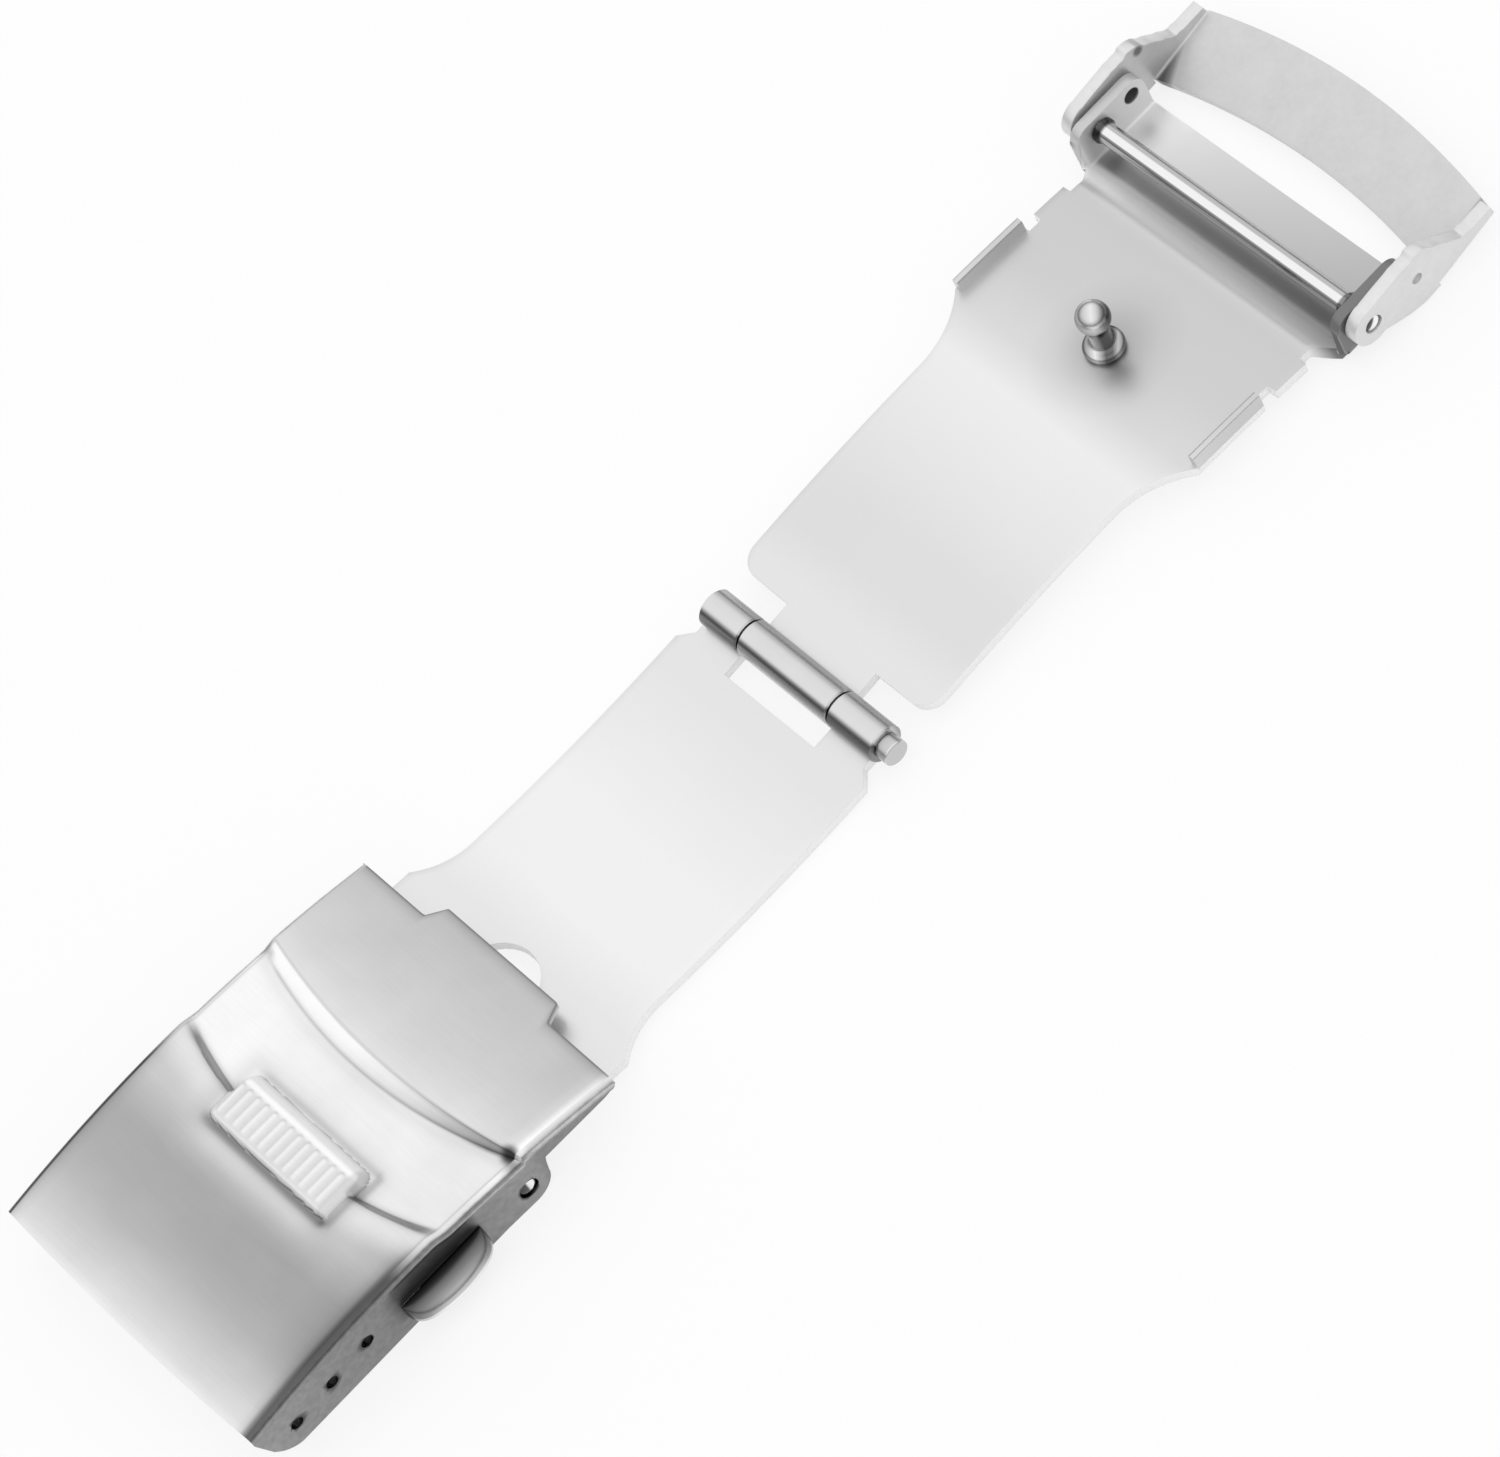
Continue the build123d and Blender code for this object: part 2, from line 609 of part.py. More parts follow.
def make_flip_lock():
    """Two arms and a curved band, drawn with u along X and v downwards, then turned to its rest."""
    band_outer_v = lock_band_inner_v + lock_band_thick
    turn = radians(45)
    back = [(lock_pivot_radius * sin(radians(9)), lock_pivot_radius * cos(radians(9)))]
    back += list(lock_back_points) + [(lock_band_start_u, band_outer_v), (lock_band_end_u, band_outer_v)]
    back += [(lock_band_end_u, lock_corner_v)] + list(lock_free_points)
    back += [(lock_knee_u, lock_knee_v), (0, lock_free_v)]
    turned = [(u, -v) for u, v in back]
    tip = (-lock_pivot_radius, 0)
    arm_face = make_face([Polyline(*turned), ThreePointArc(turned[-1], tip, turned[0])])
    inner = lock_outer_half - lock_arm_thick
    lock = side_solid(arm_face, inner, lock_outer_half) + side_solid(arm_face, -lock_outer_half, -inner)
    low = [(lock_band_start_u, -lock_outer_half), (lock_band_start_u + lock_inner_bulge, 0), (lock_band_start_u, lock_outer_half)]
    high = [(lock_band_end_u, lock_outer_half), (lock_band_end_u + lock_outer_bulge, 0), (lock_band_end_u, -lock_outer_half)]
    edges = [ThreePointArc(*low), Line(low[2], high[0]), ThreePointArc(*high), Line(high[2], low[0])]
    lock += plan_solid(make_face(edges), -band_outer_v, -lock_band_inner_v)
    lock -= cross_cylinder(0, 0, lock_hole_diameter, -lock_outer_half - overrun, lock_outer_half + overrun)
    for side in (1, -1):
        dimple_y = sorted((side * (lock_outer_half - lock_dimple_depth), side * (lock_outer_half + overrun)))
        lock -= cross_cylinder(lock_dimple_u, -lock_dimple_v, 2 * lock_dimple_radius, *dimple_y)
    return Pos(bar_x, 0, bar_z) * Rot(0, -lock_rest_heading, 0) * lock


def make_middle_pin():
    half = middle_centre_length / 2 + middle_outer_length
    pin = cross_cylinder(middle_x, middle_z, middle_pin_diameter, -half, half)
    head = cross_cylinder(middle_x, middle_z, middle_head_diameter, -half - middle_head_height, -half)
    rim = head.edges().filter_by(GeomType.CIRCLE).sort_by(Axis.Y)[0]
    return pin + fillet(rim, middle_head_height * middle_head_round_share)


pieces = {
    "cover_shell": make_cover_shell(),
    "catch_frame": make_catch_frame(),
    "push_button_left": make_push_button(head_shift),
    "push_button_right": other_side(make_push_button(-head_shift)),
    "button_spring_left": make_button_spring(),
    "button_spring_right": other_side(make_button_spring()),
    "cover_hinge_pin": cross_cylinder(0, hinge_z, hinge_pin_diameter, -cover_half, cover_half),
    "blade_1": make_blade_1(),
    "middle_hinge_pin": make_middle_pin(),
    "blade_2": make_blade_2(),
    "catch_peg": make_catch_peg(),
    "lock_bar_tube": make_lock_bar_tube(),
    "lock_bar_tip_left": make_lock_bar_tip(1),
    "lock_bar_tip_right": make_lock_bar_tip(-1),
    "lock_bar_spring": make_lock_bar_spring(),
    "flip_lock": make_flip_lock(),
}

# The finished clasp stands with its origin at the middle of its footprint
whole = Compound(children=[Compound(children=[shape]) for shape in pieces.values()]).bounding_box()
shift = ((whole.min.X + whole.max.X) / 2, (whole.min.Y + whole.max.Y) / 2, whole.min.Z)

os.makedirs("parts", exist_ok=True)
for name, shape in pieces.items():
    solids = shape.solids()
    moved = Pos(-shift[0], -shift[1], -shift[2]) * (solids[0] if len(solids) == 1 else Compound(children=list(solids)))
    moved.label = name
    export_step(moved, "parts/" + name + ".step")

places = {"cover hinge": (0, hinge_z), "middle hinge": (middle_x, middle_z), "lock bar": (bar_x, bar_z)}
places["catch"] = (catch_x, catch_floor_z)
places["bracelet hole"] = (bar_x + ear_bracelet_offset, bar_z)
for index, place in enumerate(bar_hole_places()):
    places["wall hole " + str(index)] = place
for name, (x, z) in places.items():
    print(name, round(x - shift[0], 3), round(-shift[1], 3), round(z - shift[2], 3))
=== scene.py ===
import bpy
import bmesh
import numpy as np
from math import radians
from mathutils import Matrix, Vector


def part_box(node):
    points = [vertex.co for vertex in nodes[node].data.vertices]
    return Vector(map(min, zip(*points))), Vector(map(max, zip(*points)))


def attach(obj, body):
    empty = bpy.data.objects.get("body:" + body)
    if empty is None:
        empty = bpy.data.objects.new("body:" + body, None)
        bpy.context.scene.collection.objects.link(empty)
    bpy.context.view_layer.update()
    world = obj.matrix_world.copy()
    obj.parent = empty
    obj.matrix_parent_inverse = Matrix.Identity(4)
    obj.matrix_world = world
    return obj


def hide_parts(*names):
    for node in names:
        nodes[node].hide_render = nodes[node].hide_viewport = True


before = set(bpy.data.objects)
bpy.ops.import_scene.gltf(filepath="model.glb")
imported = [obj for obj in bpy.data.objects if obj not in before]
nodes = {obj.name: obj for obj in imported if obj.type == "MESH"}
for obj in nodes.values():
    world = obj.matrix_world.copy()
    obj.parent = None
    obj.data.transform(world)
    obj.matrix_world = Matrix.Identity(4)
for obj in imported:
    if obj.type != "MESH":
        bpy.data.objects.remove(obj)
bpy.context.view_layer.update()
print("frame loaded")

# Shapes are worked out in millimetres: x from the cover hinge, y across, z from the table
hingeHeight = 1.4
pinLow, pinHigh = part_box("cover_hinge_pin")
origin = np.array([(pinLow[0] + pinHigh[0]) * 500, 0.0, (pinLow[2] + pinHigh[2]) * 500 - hingeHeight])

joints = {"middle": (28.8, 1.5), "bar": (61.3, 2.45), "lockHeading": 12.0}
barX, barZ = joints["bar"]
past = 12.0  # holes right through are cut as far as this on both sides


def ease(low, high, value):
    # 0 up to low, 1 from high, and 3t^2 - 2t^3 between them
    t = np.clip((value - low) / (high - low), 0, 1)
    return t * t * (3 - 2 * t)


def gridFaces(rows, columns, start=0, turned=False):
    # each face joins four neighbours of a grid of rows by columns points
    index = start + np.arange(rows * columns).reshape(rows, columns)
    corners = (index[:-1, :-1], index[1:, :-1], index[1:, 1:], index[:-1, 1:])
    faces = np.stack(corners, axis=-1).reshape(-1, 4)
    return faces[:, ::-1] if turned else faces


def joinGrids(grids):
    # all grids' points in one list, with the faces of each grid numbered after the last one's
    points, faces, start = [], [], 0
    for grid in grids:
        rows, columns = grid.shape[:2]
        points.append(grid.reshape(-1, 3))
        faces.append(gridFaces(rows, columns, start))
        start += rows * columns
    return np.concatenate(points), np.concatenate(faces)


def closedShell(outer, inner):
    # outer grid, inner grid turned over, and a ring of faces that joins their rims
    rows, columns = outer.shape[:2]
    count = rows * columns
    index = np.arange(count).reshape(rows, columns)
    rim = np.concatenate([index[0, :], index[1:, -1], index[-1, -2::-1], index[-2:0:-1, 0]])
    following = np.roll(rim, -1)
    ring = np.stack([rim, following, following + count, rim + count], axis=-1)
    faces = np.concatenate([gridFaces(rows, columns), gridFaces(rows, columns, count, True), ring])
    return np.concatenate([outer.reshape(-1, 3), inner.reshape(-1, 3)]), faces


def turnedGrid(along, radius, centre, segments=48):
    # a profile of (y, radius) carried round the line through centre = (x, z): x + r cos a, y, z + r sin a
    angle = np.linspace(0, 2 * np.pi, segments + 1)[None, :]
    y, r = np.asarray(along, float)[:, None], np.asarray(radius, float)[:, None]
    return np.stack([centre[0] + r * np.cos(angle), y + 0 * angle, centre[1] + r * np.sin(angle)], axis=-1)


def makePiece(name, points, faces, body, marks=None, replaced=(), sharpAngle=32):
    mesh = bpy.data.meshes.new(name)
    mesh.from_pydata(((points + origin) * 0.001).tolist(), [], faces.tolist())
    for label, values in (marks or {}).items():
        mesh.attributes.new(label, "FLOAT", "POINT").data.foreach_set("value", np.ravel(values).astype(np.float32))
    clean = bmesh.new()
    clean.from_mesh(mesh)
    bmesh.ops.remove_doubles(clean, verts=clean.verts, dist=3e-6)
    bmesh.ops.dissolve_degenerate(clean, edges=clean.edges, dist=1e-7)
    bmesh.ops.recalc_face_normals(clean, faces=clean.faces)
    clean.to_mesh(mesh)
    clean.free()
    mesh.shade_smooth()
    mesh.set_sharp_from_angle(angle=radians(sharpAngle))
    piece = bpy.data.objects.new(name, mesh)
    bpy.context.collection.objects.link(piece)
    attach(piece, body)
    for node in replaced:
        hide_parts(node)
    return piece


def settle(piece, sharpAngle=32):
    # the modifiers' result becomes the piece's own mesh
    graph = bpy.context.evaluated_depsgraph_get()
    mesh = bpy.data.meshes.new_from_object(piece.evaluated_get(graph), depsgraph=graph)
    piece.modifiers.clear()
    piece.data = mesh
    mesh.shade_smooth()
    mesh.set_sharp_from_angle(angle=radians(sharpAngle))


def thicken(piece, thickness, edge=0.1):
    # sheet metal: the surface is its middle, its rims get the second material and their small round edges the third
    for number in range(3):
        piece.data.materials.append(None)
    solid = piece.modifiers.new("thickness", "SOLIDIFY")
    solid.thickness = thickness * 0.001
    solid.offset = 0
    solid.use_even_offset = False
    solid.material_offset_rim = 1
    soft = piece.modifiers.new("edge", "BEVEL")
    soft.width = edge * 0.001
    soft.segments = 2
    soft.limit_method = "ANGLE"
    soft.angle_limit = radians(50)
    soft.material = 2


def drill(piece, holes):
    # holes are (x, z, radius, low y, high y); a block is (low x, high x, low z, high z, low y, high y)
    tool = bmesh.new()
    for hole in holes:
        if len(hole) == 5:
            x, z, radius, low, high = hole
            place = Matrix.Translation(((x + origin[0]) / 1000, (low + high) / 2000, (z + origin[2]) / 1000))
            bmesh.ops.create_cone(tool, cap_ends=True, segments=32, radius1=radius / 1000, radius2=radius / 1000,
                                  depth=(high - low) / 1000, matrix=place @ Matrix.Rotation(radians(90), 4, "X"))
        else:
            lowX, highX, lowZ, highZ, low, high = hole
            centre = ((lowX + highX) / 2 + origin[0], (low + high) / 2, (lowZ + highZ) / 2 + origin[2])
            size = Matrix.Diagonal(((highX - lowX) / 1000, (high - low) / 1000, (highZ - lowZ) / 1000, 1))
            bmesh.ops.create_cube(tool, size=1, matrix=Matrix.Translation([c / 1000 for c in centre]) @ size)
    mesh = bpy.data.meshes.new("drill")
    tool.to_mesh(mesh)
    # the cut faces take their levels from the tool, so it has the same marks as the piece
    cutLevel = np.full(len(mesh.vertices), 0.6, np.float32)
    for mark in list(piece.data.attributes):
        if mark.data_type == "FLOAT" and mark.domain == "POINT":
            mesh.attributes.new(mark.name, "FLOAT", "POINT").data.foreach_set("value", cutLevel)
    tool.free()
    cutter = bpy.data.objects.new("drill", mesh)
    bpy.context.collection.objects.link(cutter)
    cut = piece.modifiers.new("holes", "BOOLEAN")
    cut.operation, cut.solver, cut.object = "DIFFERENCE", "EXACT", cutter
    settle(piece)
    bpy.data.objects.remove(cutter)


class Wire:
    # a socket that takes part in sums: wire * 2 + other adds Math nodes to its tree
    def __init__(self, tree, socket):
        self.tree, self.socket = tree, socket

    def maths(self, operation, first, second):
        sums = self.tree.nodes.new("ShaderNodeMath")
        sums.operation = operation
        for place, value in zip(sums.inputs, (first, second)):
            if isinstance(value, Wire):
                self.tree.links.new(value.socket, place)
            else:
                place.default_value = value
        return Wire(self.tree, sums.outputs[0])

    def __add__(self, other):
        return self.maths("ADD", self, other)

    def __radd__(self, other):
        return self.maths("ADD", other, self)

    def __sub__(self, other):
        return self.maths("SUBTRACT", self, other)

    def __rsub__(self, other):
        return self.maths("SUBTRACT", other, self)

    def __mul__(self, other):
        return self.maths("MULTIPLY", self, other)

    def __rmul__(self, other):
        return self.maths("MULTIPLY", other, self)


class Finish:
    # the nodes of a material or of the world
    # add() makes any node from its type, its settings and its sockets' values or links
    def __init__(self, owner):
        owner.use_nodes = True
        self.owner, self.tree = owner, owner.node_tree
        self.tree.nodes.clear()

    def add(self, kind, settings=None, sockets=None, output=0):
        node = self.tree.nodes.new("ShaderNode" + kind)
        for key, value in (settings or {}).items():
            if key == "stops":
                while len(node.color_ramp.elements) < len(value):
                    node.color_ramp.elements.new(1)
                for element, (place, level) in zip(node.color_ramp.elements, value):
                    element.position = place
                    element.color = (level, level, level, 1)
            else:
                setattr(node, key, value)
        for key, value in (sockets or {}).items():
            if isinstance(value, Wire):
                self.tree.links.new(value.socket, node.inputs[key])
            else:
                node.inputs[key].default_value = value
        return Wire(self.tree, node.outputs[output]) if node.outputs else None

    def ramp(self, value, low, high, stops):
        # levels along value, which runs from low to high
        share = self.add("MapRange", None, {"Value": value, "From Min": low, "From Max": high})
        places = [((place - low) / (high - low), level) for place, level in stops]
        return self.add("ValToRGB", {"stops": places}, {"Fac": share})

    def size(self, value):
        # the value without its sign
        return self.add("Math", {"operation": "ABSOLUTE"}, {0: value})

    def distance(self, first, second):
        # sqrt(first^2 + second^2)
        return self.add("Math", {"operation": "SQRT"}, {0: first * first + second * second})

    def end(self, shader, kind="OutputMaterial"):
        self.add(kind, None, {"Surface": shader})
        return self.owner


def steel(name, look, tone=1.0, metal=1.0):
    # brushed or polished steel: tone and metal are numbers, or functions of (finish, x, y, z) in millimetres
    finish = Finish(bpy.data.materials.new(name))
    place = finish.add("TexCoord", output="Object")
    split = finish.add("SeparateXYZ", None, {"Vector": place}, "X").socket.node
    x, y, z = [Wire(finish.tree, split.outputs[i]) * 1000 - float(origin[i]) for i in range(3)]
    scale = {"x": (260, 9000, 9000), "y": (9000, 260, 9000), "z": (9000, 9000, 260), "none": (2600, 2600, 2600)}
    lines = finish.add("Mapping", None, {"Vector": place, "Scale": scale[look["grain"]]})
    grain = finish.add("TexNoise", None, {"Vector": lines, "Scale": 1.0, "Detail": 5.0, "Roughness": 0.65}, "Fac")
    cloud = finish.add("TexNoise", None, {"Vector": place, "Scale": look["cloudScale"], "Detail": 4.0}, "Fac")
    level = tone(finish, x, y, z) if callable(tone) else tone
    metal = metal(finish, x, y, z) if callable(metal) else metal
    level = level * ((grain - 0.5) * look["grainTone"] + (cloud - 0.5) * look["cloudTone"] + 1.0)
    red, green, blue = look["colour"]
    colour = finish.add("CombineColor", None, {"Red": level * red, "Green": level * green, "Blue": level * blue})
    rough = (grain - 0.5) * look["grainRough"] + (cloud - 0.5) * look["cloudRough"] + look["rough"]
    bump = finish.add("Bump", None, {"Strength": look["bump"], "Distance": 0.00002, "Height": grain})
    shader = finish.add("BsdfPrincipled", None,
                        {"Base Color": colour, "Metallic": metal, "Roughness": rough, "Normal": bump})
    return finish.end(shader)


def dress(piece, material):
    piece.data.materials.clear()
    piece.data.materials.append(material)


cover = {"half": 10.0, "arc": 60.7, "peakX": -8.5, "peakZ": 5.0, "endX": -18.7, "endBow": 0.25, "tongueX": 6.7,
         "tabLength": 1.1, "tabRoot": 4.9, "tabTip": 4.3, "crown": 0.1, "bend": 0.42, "wallInset": 0.12, "lip": 0.7,
         "wallSheet": 0.58, "sheet": 0.65, "seatDepth": 0.55, "creaseX": -5.14, "creaseBow": 1.82,
         "creaseSkew": 0.014,
         "creaseWidth": 0.4, "stepX": 0.22, "stepBow": 1.67, "stepSkew": 0.03, "stepTopX": 0.67, "stepTopBow": 1.17,
         "padHeight": 0.24, "padFront": -5.0, "padTop": -5.98, "padBack": -8.12, "padHalf": 4.75, "padFlat": 4.2,
         "padRound": 0.36, "ribPitch": 0.667, "ribHeight": 0.09, "trough": 0.2, "troughWidth": 0.36, "holeX": -16.4,
         "holeZ": 1.8, "holePitch": 2.65, "holeRise": 0.3, "holeRadius": 0.38, "pinHole": 0.6,
         "slot": (-8.7, -3.14, 1.06, 2.39)}


def hump(value, width):
    # exp(-(value / width)^2), a soft line
    return np.exp(-(value / width) ** 2)


def spot(x, y, centreX, centreY, lengthX, lengthY, power=1):
    # exp(-r^2 to a power), where r is the distance from the centre in these lengths: a soft round place
    return np.exp(-(((x - centreX) / lengthX) ** 2 + ((y - centreY) / lengthY) ** 2) ** power)


def coverArc(x):
    # height of a circle of radius arc whose top is at peakX
    return cover["peakZ"] - cover["arc"] + np.sqrt(cover["arc"] ** 2 - (x - cover["peakX"]) ** 2)


def coverLines(y):
    # across the cover the crease, the step's two edges and the end are parabolas: edge - bow (1 - (y / half)^2)
    bow = 1 - np.clip(np.abs(y) / cover["half"], 0, 1) ** 2
    tab = np.clip((cover["tabRoot"] - np.abs(y)) / (cover["tabRoot"] - cover["tabTip"]), 0, 1)
    within = np.clip(y, -cover["half"], cover["half"])
    crease = cover["creaseX"] - cover["creaseBow"] * bow - cover["creaseSkew"] * within
    step = cover["stepX"] - cover["stepBow"] * bow - cover["stepSkew"] * within
    return (cover["endX"] - cover["endBow"] * bow, crease, step, cover["stepTopX"] - cover["stepTopBow"] * bow,
            cover["tongueX"] + cover["tabLength"] * tab)


def padShare(x, y):
    # 1 on the pad's flat top, falling as 1 - distance^3 over its rounded front, ends and short back
    front = np.clip((x - cover["padTop"]) / (cover["padFront"] - cover["padTop"]), 0, None)
    back = np.clip((cover["padBack"] + 0.16 - x) / cover["padRound"], 0, None)
    side = np.clip((np.abs(y + 0.05) - cover["padFlat"]) / (cover["padHalf"] - cover["padFlat"]), 0, None)
    return 1 - np.clip(np.hypot(np.maximum(front, back), side), 0, 1) ** 3


def ribShare(x, y):
    # rounded ridges across the pad: a raised cosine along y, faded at the pad's front, back and ends
    ridge = 0.5 + 0.5 * np.cos(2 * np.pi * (y - 0.2) / cover["ribPitch"])
    scallop = cover["padTop"] - 0.02 + 0.12 * ridge
    length = ease(scallop + 0.06, scallop - 0.12, x) * ease(cover["padBack"] + 0.08, cover["padBack"] + 0.4, x)
    return ridge * length * ease(4.3, 4.1, np.abs(y - 0.1))


def coverTop(x, y):
    # arc - seat depth between crease and step, blended to the pad's top with its ribs, and a trough behind the pad
    end, crease, step, stepTop, tip = coverLines(y)
    aside = np.abs(y) / cover["half"]
    half = cover["creaseWidth"] / 2 * (1 + 2.5 * aside ** 8)
    seat = ease(crease - half, crease + half, x) * (1 - np.clip((x - step) / (stepTop - step), 0, 1))
    seat = seat * (1 - 0.5 * aside ** 4)
    trough = hump(x - cover["padBack"] + 0.3, cover["troughWidth"]) * ease(5.1, 4.3, np.abs(y)) * (x < crease)
    base = coverArc(x) - cover["seatDepth"] * seat - cover["crown"] * aside ** 4 - cover["trough"] * trough
    top = coverArc(x) + cover["padHeight"] + cover["ribHeight"] * ribShare(x, y)
    return base + (top - base) * padShare(x, y)


def coverLevel(x, y, depth, onTop, z):
    # painted light and shade on the brushed steel: levels along the rear, seat, step and tongue, then lines of
    # painted shade and painted highlight
    end, crease, step, stepTop, tip = coverLines(y)
    away = np.abs(y)
    rear = np.interp(x, (-19, -18.3, -17, -15, -13, -11, -9.6, -8.6), (0.8, 0.67, 0.57, 0.45, 0.4, 0.39, 0.48, 0.56))
    side = np.interp(y, (-9.2, -8.4, -6.8, 0, 5, 10), (0.74, 0.86, 0.98, 1.0, 1.04, 1.04))
    rear = rear * (1.06 - (1.06 - side) * ease(-17.5, -13.0, x))
    rear = rear + 0.16 * hump(x + 9.1, 0.8) * ease(6.5, 3.0, away)
    rear = rear + (0.74 - rear) * ease(crease - 2.4, crease - 0.7, x)
    seat = 0.85 + 0.06 * ease(2.0, 7.0, y) - 0.04 * ease(-4.0, -7.0, y)
    tongue = np.interp(x - stepTop, (0, 1.4, 3, 5, 7.5), (0.74, 0.67, 0.62, 0.58, 0.55))
    slope = np.clip((x - step) / (stepTop - step), 0, 1)
    level = np.where(x < crease, rear, seat)
    stepLevel = (0.84 + 0.2 * slope) * np.interp(y, (-9, -6, -3, 0, 5, 9), (0.45, 0.62, 0.85, 0.97, 1.1, 1.15))
    level = np.where(slope > 0, stepLevel, level)
    level = np.where(slope >= 1, tongue, level)
    onPad = padShare(x, y)
    beyond = np.maximum(x - cover["padFront"], cover["padBack"] - 0.1 - x)
    around = np.hypot(np.clip(beyond, 0, None), np.clip(away - cover["padHalf"], 0, None))
    # painted shade along the crease, painted shade lines at the step's foot and top, and a strip of painted shade
    # before the foot
    level *= 1 - 0.44 * hump(x - crease, 0.3) * ease(10.2, 8.6, away) * (onPad <= 0)
    level *= 1 - 0.4 * hump(x - step, 0.09) * ease(9.8, 8.0, away) - 0.4 * hump(x - stepTop, 0.07)
    level *= 1 - 0.6 * hump(x - step + 0.05, 0.11) * ease(-6.0, -8.6, y)
    level *= 1 - 0.1 * hump(x - step + 0.35, 0.4)
    # painted shade in the corners at both ends of the step, and along the tongue's edge
    level *= 1 - 0.9 * spot(x, y, 0.35, -9.35, 0.5, 0.55, 2)
    level *= 1 - 0.4 * spot(x - step, y, 0.25, 9.4, 0.3, 0.4)
    level *= 1 - 0.26 * hump(x - tip, 0.45) * (x > 5) - 0.45 * hump(x - tip, 0.09) * (x > 6)
    # painted shadow round the pad, and painted shade at its far corner and in the trough behind it
    nearby = np.interp(y, (-5.3, -4.6, 3.8, 4.7), (1.9, 1.0, 1.0, 0.2))
    level *= 1 - (0.26 * hump(around - 0.22, 0.26) * nearby + 0.1 * hump(around - 0.5, 0.6)) * (onPad <= 0)
    level *= 1 - 0.45 * spot(x, y, -6.15, 4.6, 0.3, 0.35)
    level *= 1 - 0.46 * hump(x - cover["padBack"] + 0.3, cover["troughWidth"]) * ease(5.2, 4.5, away)
    # the pad: pale ribs with painted shade in their grooves, a painted shade line at their front end, and a painted
    # highlight on its border
    ribs, padTop, padBack = ribShare(x, y), cover["padTop"], cover["padBack"]
    onRibs = ease(padTop + 0.1, padTop - 0.1, x) * ease(4.35, 4.1, away) * ease(padBack, padBack + 0.15, x)
    border = ease(padTop + 0.05, padTop + 0.3, x)
    ribLine = hump(x - padTop - 0.06, 0.09) * ease(4.4, 4.2, away) * (0.4 + ribs)
    bright = 0.9 + 0.12 * border - 0.17 * onRibs * (1 - ribs) - 0.18 * ribLine
    level = level + (bright * (1 - 0.22 * ease(-4.0, -4.3, y)) - level) * ease(0.0, 0.3, onPad)
    # the bends into the walls: painted shade along them, and a painted highlight along the tongue's near bend
    ahead = ease(-8.5, -5.5, x)
    nearRim = np.interp(y, (-9.9, -9.75, -9.6, -9.5, -9.4, -9.3, -9.2, -8.8),
                        (0.4, 0.25, 0.27, 0.32, 0.52, 0.72, 0.87, 1.0))
    farRim = np.interp(away, (8.8, 9.3, 9.6), (1.0, 0.92, 0.75))
    rearRim = np.where(y < 0, nearRim, farRim)
    tongueRim = np.where(y < 0, np.interp(y, (-9.8, -9.6, -9.2, -8.6, -6.0), (1.6, 1.5, 1.06, 0.95, 1.0)), 1.0)
    frontRim = np.where(slope >= 1, tongueRim, np.interp(away, (9.45, 9.58, 9.7), (1.0, 0.75, 0.8)))
    level = level * (rearRim + (frontRim - rearRim) * ahead)
    # the wall: painted shade, a little darker from the holes to the button, a lip of two lines of painted highlight
    # and shade by its depth under the top, and a painted shadow over the button
    wall = np.interp(x, (-18.5, -15.0, -13.0, -9.0, -3.0, 0.0, 7.0), (0.31, 0.28, 0.26, 0.23, 0.25, 0.3, 0.3))
    rearLip = np.interp(depth, (0.0, 0.1, 0.2, 0.3, 0.4, 0.5, 0.6, 0.75, 1.0),
                        (0.4, 0.48, 0.62, 0.97, 1.03, 0.93, 0.84, 0.88, 1.0))
    frontLip = np.interp(depth, (0.0, 0.1, 0.22, 0.34, 0.42, 0.55, 0.64, 0.7),
                         (3.2, 2.9, 1.2, 0.95, 1.5, 1.9, 0.8, 1.0))
    tongueLip = np.interp(depth, (0.0, 0.1, 0.2, 0.32, 0.42, 0.5, 0.6, 0.7),
                          (2.6, 2.0, 2.1, 2.0, 1.5, 1.05, 0.85, 0.85))
    frontLip = frontLip + (tongueLip - frontLip) * ease(0.6, 1.4, x)
    frontLip = frontLip * (1 - 0.6 * hump(x - 0.1, 0.5) * ease(0.35, 0.15, depth))
    wall = wall * (rearLip + (frontLip - rearLip) * ahead)
    place = ((x + 6.2) / 3.15) ** 4 + ((z - 2.5) / 1.9) ** 4
    wall = wall * (1 - 0.62 * ease(1.3, 0.4, place) * ease(0.6, 0.75, depth) * (z > 1.0))
    return np.where(onTop, level, wall)


def coverShine(x, y):
    # how much of the look is metal: less on the worn pad and on the step, which look white
    end, crease, step, stepTop, tip = coverLines(y)
    slope = (x > step + 0.02) & (x < stepTop - 0.02)
    return 1 - 0.65 * ease(0.0, 0.2, padShare(x, y)) - 0.5 * slope


def wallBottom(x):
    # the wall's lower edge: a leaning end, a round corner, the hinge lobe, and a rising notch under the tongue
    knots = [(-18.75, 3.3), (-18.2, 1.45), (-17.9, 0.95), (-17.5, 0.55), (-17.1, 0.3), (-16.8, 0.2), (-2.0, 0.15),
             (0.0, 0.0)]
    edge = np.interp(x, *zip(*knots))
    lobe = hingeHeight - np.sqrt(np.clip(hingeHeight ** 2 - np.clip(x, 0, hingeHeight) ** 2, 0, None))
    after = np.interp(x, (1.4, 1.6, 5.9, 6.3, 6.55, 6.7, 7.8), (1.4, 2.4, 2.24, 2.32, 2.52, 2.8, 2.9))
    return np.where(x < 0, edge, np.where(x < 1.4, lobe, after))


def mirrored(values):
    # the values from the last to the first and back, with the first one once
    return np.concatenate([values[::-1], values[1:]])


